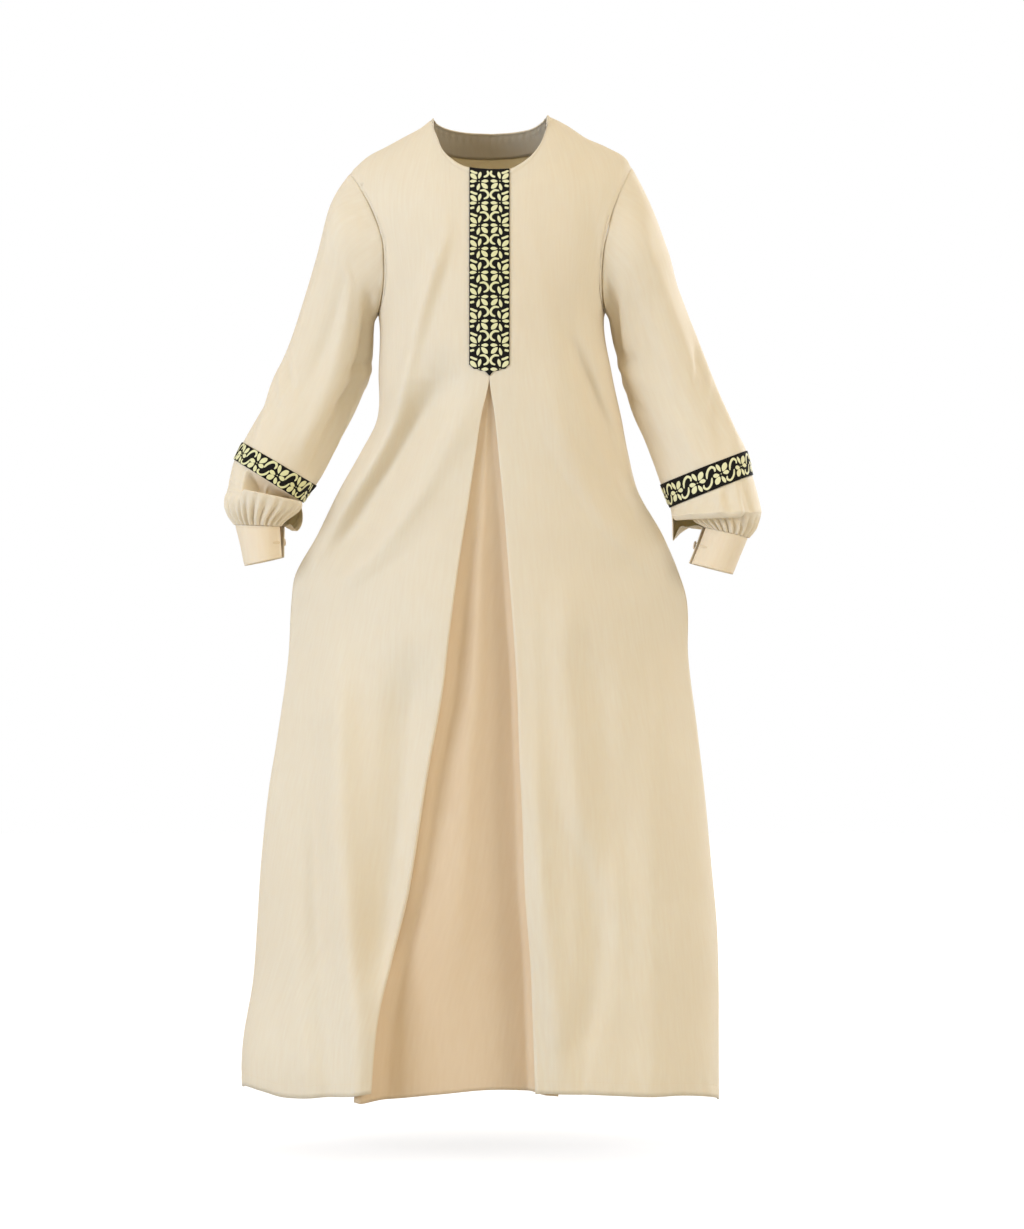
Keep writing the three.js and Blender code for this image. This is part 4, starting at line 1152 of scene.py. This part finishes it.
def leaf_tree():
    """Raises a domed, pointed petal on each point of a mesh."""
    tree = bpy.data.node_groups.new("woven petals", "GeometryNodeTree")
    add_socket(tree, "Points", "INPUT", "Geometry")
    add_socket(tree, "Relief", "INPUT", "Float", RELIEF * MM)
    add_socket(tree, "Finish", "INPUT", "Material")
    add_socket(tree, "Petals", "OUTPUT", "Geometry")
    inlet = tree.nodes.new("NodeGroupInput")
    tree.nodes.new("NodeGroupOutput")
    grid = add_node(tree, "GeometryNodeMeshGrid", {
        "Size X": 1, "Size Y": 1, "Vertices X": 9, "Vertices Y": 5,
    })
    position = add_node(tree, "GeometryNodeInputPosition")
    split = add_node(tree, "ShaderNodeSeparateXYZ", {0: position.outputs[0]})
    y = split.outputs["Y"]
    along_leaf = maths(tree, "ADD", split.outputs["X"], 0.5)
    swollen = maths(tree, "POWER", along_leaf, 1.2)
    bulge = maths(tree, "MAXIMUM", maths(tree, "SINE", maths(tree, "MULTIPLY", swollen, math.pi)), 0.0)
    full = maths(tree, "POWER", bulge, 0.6)
    across_leaf = maths(tree, "MULTIPLY", y, full)
    square = maths(tree, "MULTIPLY", y, y)
    round_over = maths(tree, "SUBTRACT", 1.0, maths(tree, "MULTIPLY", square, 4.0))
    dome = maths(tree, "MULTIPLY", maths(tree, "MULTIPLY", round_over, full), inlet.outputs["Relief"])
    shaped = add_node(tree, "ShaderNodeCombineXYZ", {"X": along_leaf, "Y": across_leaf, "Z": dome})
    move = add_node(tree, "GeometryNodeSetPosition", {
        "Geometry": grid.outputs["Mesh"], "Position": shaped.outputs[0],
    })
    weld = add_node(tree, "GeometryNodeMergeByDistance", {
        "Geometry": move.outputs[0], "Distance": 0.00001,
    })
    turn, size = [
        add_node(tree, "GeometryNodeInputNamedAttribute", {"Name": name}, data_type="FLOAT_VECTOR")
        for name in ("turn", "size")
    ]
    return finish_tree(tree, inlet.outputs["Points"], weld.outputs["Geometry"],
                       turn.outputs["Attribute"], size.outputs["Attribute"], "Petals")


def stitch_tree():
    """Lays short raised stitches end to end along the edges of a mesh."""
    tree = bpy.data.node_groups.new("stitch row", "GeometryNodeTree")
    add_socket(tree, "Line", "INPUT", "Geometry")
    add_socket(tree, "Pitch", "INPUT", "Float", 3.2 * MM)
    add_socket(tree, "Stitch", "INPUT", "Float", 2.4 * MM)
    add_socket(tree, "Thickness", "INPUT", "Float", 0.45 * MM)
    add_socket(tree, "Finish", "INPUT", "Material")
    add_socket(tree, "Stitches", "OUTPUT", "Geometry")
    inlet = tree.nodes.new("NodeGroupInput")
    tree.nodes.new("NodeGroupOutput")
    line = add_node(tree, "GeometryNodeMeshToCurve", {"Mesh": inlet.outputs["Line"]})
    spots = add_node(tree, "GeometryNodeCurveToPoints", {
        "Curve": line.outputs["Curve"], "Length": inlet.outputs["Pitch"],
    }, mode="LENGTH")
    bead = add_node(tree, "GeometryNodeMeshUVSphere", {"Segments": 6, "Rings": 5, "Radius": 0.5})
    thick = inlet.outputs["Thickness"]
    size = add_node(tree, "ShaderNodeCombineXYZ", {"X": thick, "Y": thick, "Z": inlet.outputs["Stitch"]})
    return finish_tree(tree, spots.outputs["Points"], bead.outputs["Mesh"],
                       spots.outputs["Rotation"], size.outputs[0], "Stitches")


LEAF_TREE = leaf_tree()
STITCH_TREE = stitch_tree()


def grown(obj, name, tree, **values):
    """Runs a tree on a helper object and keeps the result as a plain mesh."""
    grow = obj.modifiers.new("grow", "NODES")
    grow.node_group = tree
    for item in tree.interface.items_tree:
        if item.in_out == "INPUT" and item.name in values:
            grow[item.identifier] = values[item.name]
    bpy.context.view_layer.update()
    evaluated = obj.evaluated_get(bpy.context.evaluated_depsgraph_get())
    mesh = bpy.data.meshes.new_from_object(evaluated)
    mesh.name = name
    bpy.data.objects.remove(obj)
    made = bpy.data.objects.new(name, mesh)
    bpy.context.scene.collection.objects.link(made)
    return made


def flowers(middles, mirror, leaves, scrolls):
    """Flat petals and scrolls of a row of flowers, as places on the ground.
    Each flower has a middle and a stretch along the ribbon."""
    petals, bands = [], []
    for a, b, stretch in middles:
        for x1, y1, x2, y2, width in leaves:
            for half in (1, -1):
                root = np.array([x1, y1]) * half
                tip = np.array([x2, y2]) * half
                petals.append((a + mirror * root[0], b + root[1] * stretch,
                               a + mirror * tip[0], b + tip[1] * stretch, width))
        for path in scrolls:
            bands.append(np.array([(a + mirror * x, b + y * stretch) for x, y in path]))
    return petals, bands


def lay_petals(name, node, ground, petals, down):
    """Petals on a ribbon. down is which way a flower's up runs in the grid."""
    places, turns, sizes = [], [], []
    for a1, b1, a2, b2, width in petals:
        root, normal = ground.place(a1, down(a1, b1), 0.02)
        tip, _ = ground.place(a2, down(a2, b2), 0.02)
        ahead = tip - root
        length = float(np.linalg.norm(ahead))
        ahead = unit(ahead - normal * (ahead @ normal))
        side = np.cross(normal, ahead)
        turns.append(Matrix(np.stack([ahead, side, normal], axis=1).tolist()).to_euler())
        places.append(root * MM)
        sizes.append((length * MM, width * MM, 1))
    obj = mesh_object(name + "_places", places, [])
    for label, values in (("turn", turns), ("size", sizes)):
        layer = obj.data.attributes.new(label, "FLOAT_VECTOR", "POINT")
        layer.data.foreach_set("vector", np.array([tuple(v) for v in values]).ravel())
    made = grown(obj, name, LEAF_TREE, Relief=RELIEF * MM, Finish=LEAF)
    dress(made, node)


def lay_scrolls(name, node, ground, bands, down):
    """Raised curled bands on a ribbon."""
    vertices, faces = [], []
    profile = np.array([-1, -0.6, 0, 0.6, 1])
    rises = (1 - profile**2) * RELIEF + 0.02
    for path in bands:
        line = through(path, np.linspace(0, len(path) - 1, SCROLL_STEPS))
        ahead = np.gradient(line, axis=0)
        ahead /= np.linalg.norm(ahead, axis=1, keepdims=True)
        side = np.stack([-ahead[:, 1], ahead[:, 0]], axis=1)
        taper = np.sqrt(np.clip(np.sin(np.linspace(0.06, 0.94, SCROLL_STEPS) * math.pi) * 1.6, 0, 1))
        reach = profile[None, :, None] * taper[:, None, None] * SCROLL_WIDTH / 2
        flat = line[:, None] + side[:, None] * reach
        rise = np.broadcast_to(rises, flat.shape[:2])
        points, _ = ground.place(flat[..., 0], down(flat[..., 0], flat[..., 1]), rise)
        start = len(vertices)
        vertices.extend(points.reshape(-1, 3) * MM)
        for r in range(SCROLL_STEPS - 1):
            for c in range(4):
                corner = start + r * 5 + c
                faces.append((corner, corner + 1, corner + 6, corner + 5))
    obj = mesh_object(name, vertices, faces)
    face = obj.data.polygons[0]
    a, b = bands[0][0]
    _, normal = ground.place(a, down(a, b))
    if Vector(face.normal) @ Vector(normal) < 0:
        obj.data.flip_normals()
    dress(obj, node, LEAF)


def lay_flowers(node, ground, petals, bands, down):
    lay_petals(f"{node}_petals", node, ground, petals, down)
    lay_scrolls(f"{node}_scrolls", node, ground, bands, down)


def make_front_ribbon():
    ground, top = front_ground()
    strip = cloth_grid("front_trim_ground", ground.points, RIBBON_THICK, ground.normals)
    dress(strip, "front_trim", BLACK)

    def down(a, z):
        start = np.interp(a, ground.across, top)
        end = read(RIBBON_END, "x", "z", np.abs(a))
        return np.clip((start - z) / (start - end), 0.004, 0.996)

    def inside(a, z):
        lowest = -299.5 - 4.5 * (abs(a) < 17)
        return lowest < z < float(np.interp(a, ground.across, top)) - 1

    petals, bands = [], []
    for mirror in (1, -1):
        middles = [
            (mirror * FLOWER_OUT, low, (high - low) / FULL_REPEAT)
            for high, low in zip(FLOWER_LEVELS, FLOWER_LEVELS[1:])
        ]
        more = flowers(middles, mirror, PETALS, FRONT_SCROLLS)
        petals += more[0]
        bands += more[1]
    petals = [p for p in petals if inside(p[0], p[1]) and inside(p[2], p[3])]
    bands = [b[[inside(*spot) for spot in b]] for b in bands]
    bands = [b for b in bands if len(b) >= 3]
    lay_flowers("front_trim", ground, petals, bands, down)


def make_band_ribbon(side, flower_x):
    ground = band_ground(side)
    node = f"sleeve_trim_{side}"
    strip = cloth_grid(f"{node}_ground", ground.points, RIBBON_THICK, ground.normals, wrap=True)
    dress(strip, node, BLACK)
    girth = ground.across[-1]
    count = round(girth / BAND_REPEAT)
    pitch = girth / count
    middle = ground.points[len(ground.points) // 2]
    facing = np.where(middle[:, 1] < 0, np.abs(middle[:, 0] - flower_x), 999)
    first = ground.across[int(np.argmin(facing))]
    half = ground.length[-1] / 2
    # Round the sleeve the columns run outwards to the front, so on the
    # viewer's right a flower is mirrored to keep its hand.
    mirror = 1 if side == "left" else -1

    def down(a, b):
        return np.clip(half - b, 0.3, 2 * half - 0.3)

    middles = [(first + pitch * i, 0, 1) for i in range(count)]
    petals, bands = flowers(middles, mirror, BAND_PETALS, BAND_SCROLLS)
    lay_flowers(node, ground, petals, bands, down)


# ------------------------------------------------------------------ sewing
def stitches(name, node, line, closed=False, pitch=3.2, stitch=2.4, thick=0.42):
    """A row of stitches along a line of points in millimetres."""
    count = len(line)
    edges = [(i, i + 1) for i in range(count - 1)] + ([(count - 1, 0)] if closed else [])
    obj = mesh_object(name + "_line", np.asarray(line) * MM, [], edges=edges)
    made = grown(obj, name, STITCH_TREE, Pitch=pitch * MM, Stitch=stitch * MM,
                 Thickness=thick * MM, Finish=THREAD)
    dress(made, node)


def contour(points, normals, distances, level, lift=0.05):
    """The line where a distance from an edge, growing down the rows, is met."""
    line = []
    for c in range(points.shape[1]):
        r = float(np.interp(level, distances[:, c], np.arange(len(points))))
        i = min(int(r), len(points) - 2)
        spot = mix(points[i, c], points[i + 1, c], r - i)
        line.append(spot + mix(normals[i, c], normals[i + 1, c], r - i) * lift)
    return np.array(line)


def sew_panels():
    for side in SIGN:
        columns, points, normals = PANEL["front", side]
        top = lengths_from(points, 0)
        bottom = np.flip(lengths_from(points, 0, True), 0)
        keep = (columns >= 2) & (columns <= NECK_COLUMNS)
        stitches(f"neck_stitches_{side}", f"front_{side}",
                 contour(points[:, keep], normals[:, keep], top[:, keep], EDGE_STITCH))
        stitches(f"hem_stitches_{side}", f"front_{side}",
                 contour(points[::-1], normals[::-1], bottom, HEM_DEPTH))
    points, normals = joined("back", 1), joined("back", 2)
    middle = LAST_COLUMN * SUB_COLUMNS
    reach = NECK_COLUMNS * SUB_COLUMNS
    neck = slice(middle - reach, middle + reach + 1)
    stitches("neck_stitches_back", "back",
             contour(points[:, neck], normals[:, neck], lengths_from(points, 0)[:, neck], EDGE_STITCH))
    bottom = np.flip(lengths_from(points, 0, True), 0)
    stitches("hem_stitches_back", "back", contour(points[::-1], normals[::-1], bottom, HEM_DEPTH))


def sew_cuffs():
    for side in SIGN:
        points, normals, _ = cuff_surface(side)
        down = lengths_from(points, 0)
        inset = slice(5, -5)
        for label, level in (("top", 2.6), ("bottom", 45.5)):
            line = contour(points[:, inset], normals[:, inset], down[:, inset], level, 0.45)
            stitches(f"cuff_{label}_stitches_{side}", f"cuff_{side}", line, pitch=2.6, stitch=1.9)
        hole = []
        row = CUFF_GRID[0] // 2
        for a in np.linspace(0, 2 * math.pi, 40):
            c = 9 + 6 * math.cos(a)
            i = int(c)
            spot = mix(points[row, i], points[row, i + 1], c - i)
            hole.append(spot + normals[row, i] * 0.5 + np.array([0, 0, 1]) * 1.1 * math.sin(a))
        stitches(f"buttonhole_{side}", f"cuff_{side}", hole, closed=True, pitch=0.8, stitch=1.1, thick=0.8)


def make_button(side):
    """A flat button with a rim, without holes, and its crossed thread."""
    centre, across, width, depth = section_frames(CUFF[side], side)
    t = (VENT["frontEnd"] - BUTTON_PLACE[side]) / (VENT["frontEnd"] - VENT["backEnd"])

    def on_cuff(share):
        turn = math.radians(mix(VENT["frontEnd"], VENT["backEnd"], share))
        spring = mix(*SPRING[side], 0.5) * float(smooth(0.75, 1, share)) * width[1]
        out = across[1] * math.cos(turn) * (width[1] + spring)
        return centre[1] + out + TO_FRONT * math.sin(turn) * (depth[1] + spring)

    place = on_cuff(t)
    tangent = unit(on_cuff(t + 0.02) - on_cuff(t - 0.02))
    down = unit(np.cross(across[1], TO_FRONT))
    normal = unit(np.cross(tangent, down))
    if normal @ (place - centre[1]) < 0:
        normal = -normal
    tangent = unit(np.cross(down, normal))
    place = place + normal * 0.9
    sides = 40
    vertices = [place, place + normal * 1.3]
    rings = [(4.4, 0), (4.9, 0.4), (5, 1.1), (4.8, 1.8), (4.3, 2.1), (3.8, 1.9), (3.3, 1.4)]
    for radius, height in rings:
        for i in range(sides):
            turn = i * 2 * math.pi / sides
            vertices.append(place + normal * height
                            + (tangent * math.cos(turn) + down * math.sin(turn)) * radius)

    def ring(r, i):
        return 2 + r * sides + i % sides

    faces = [(0, ring(0, i + 1), ring(0, i)) for i in range(sides)]
    faces += [(1, ring(len(rings) - 1, i), ring(len(rings) - 1, i + 1)) for i in range(sides)]
    for r in range(len(rings) - 1):
        faces += [(ring(r, i), ring(r, i + 1), ring(r + 1, i + 1), ring(r + 1, i)) for i in range(sides)]
    if np.cross(tangent, down) @ normal < 0:
        faces = [face[::-1] for face in faces]
    obj = mesh_object(f"cuff_button_{side}_disc", np.array(vertices) * MM, faces)
    dress(obj, f"cuff_button_{side}", RESIN)
    for i, (a, b) in enumerate([((-1, -1), (1, 1)), ((-1, 1), (1, -1))]):
        ends = [place + normal * 1.45 + (tangent * u + down * v) * 1.3 for u, v in (a, b)]
        stitches(f"button_thread_{side}_{i}", f"cuff_button_{side}", ends,
                 pitch=5, stitch=3.9, thick=0.7)


# ------------------------------------------------------------------ the garment
for side in SIGN:
    make_front(side)
    make_sleeve(side)
    make_lower_sleeve(side)
    make_cuff(side)
    make_button(side)
make_front_ribbon()
make_band_ribbon("left", -270.9)
make_band_ribbon("right", 240.5)
sew_panels()
sew_cuffs()
make_back()
make_underlay()
make_facing("front")
make_facing("back")


# ------------------------------------------------------------------ studio
def studio():
    """A pale floor, soft lights and the camera, level with the hips."""
    scene = bpy.context.scene
    distance = 4.2
    view_height = 1.4453
    centre = Vector((0.0259, 0, -0.5839))
    lens = bpy.data.cameras.new("camera")
    lens.sensor_width = 36
    lens.lens = 36 * distance / view_height
    camera = bpy.data.objects.new("camera", lens)
    camera.location = centre + Vector((0, -distance, 0))
    camera.rotation_euler = (math.pi / 2, 0, 0)
    scene.collection.objects.link(camera)
    scene.camera = camera
    scene.view_settings.view_transform = "Standard"

    for name, place, size, power, colour in [
        ("key", (-3.3, -2.7, 0.15), 2.0, 110, (0.71, 0.80, 1.0)),
        ("fill", (3.3, -2.3, 0.0), 2.4, 50, (1.0, 0.95, 0.91)),
        ("top", (0.2, -0.4, 2.2), 2.4, 4, (1.0, 0.95, 0.88)),
        ("behind", (2.7, 2.9, 0.3), 2.2, 74, (0.80, 0.87, 1.0)),
    ]:
        light = bpy.data.lights.new(name, "AREA")
        light.size = size
        light.energy = power
        light.color = colour
        lamp = bpy.data.objects.new(name, light)
        lamp.location = place
        aim = Vector((0, 0, -0.55)) - lamp.location
        lamp.rotation_euler = aim.to_track_quat("-Z", "Y").to_euler()
        scene.collection.objects.link(lamp)

    world = bpy.data.worlds.new("pale studio")
    world.use_nodes = True
    scene.world = world
    tree = world.node_tree
    ambient = tree.nodes["Background"]
    fill(tree, ambient, {"Color": (1.0, 0.87, 0.70, 1), "Strength": 0.73})
    seen = add_node(tree, "ShaderNodeBackground", {"Color": (1, 1, 1, 1), "Strength": 1.0})
    path = add_node(tree, "ShaderNodeLightPath")
    choose = add_node(tree, "ShaderNodeMixShader", {
        "Fac": path.outputs["Is Camera Ray"], 1: ambient.outputs[0], 2: seen.outputs[0],
    })
    fill(tree, tree.nodes["World Output"], {"Surface": choose.outputs[0]})

    corners = [(-6, -6, FLOOR), (6, -6, FLOOR), (6, 6, FLOOR), (-6, 6, FLOOR)]
    floor = mesh_object("floor", corners, [(0, 1, 2, 3)])
    paper, tree, shader = new_shader("pale paper")
    path = add_node(tree, "ShaderNodeLightPath")
    fill(tree, shader, {
        "Base Color": (0.46, 0.46, 0.46, 1),
        "Roughness": 0.9,
        "Emission Color": (1, 1, 1, 1),
        "Emission Strength": maths(tree, "MULTIPLY", path.outputs["Is Camera Ray"], 0.75),
    })
    floor.data.materials.append(paper)


studio()
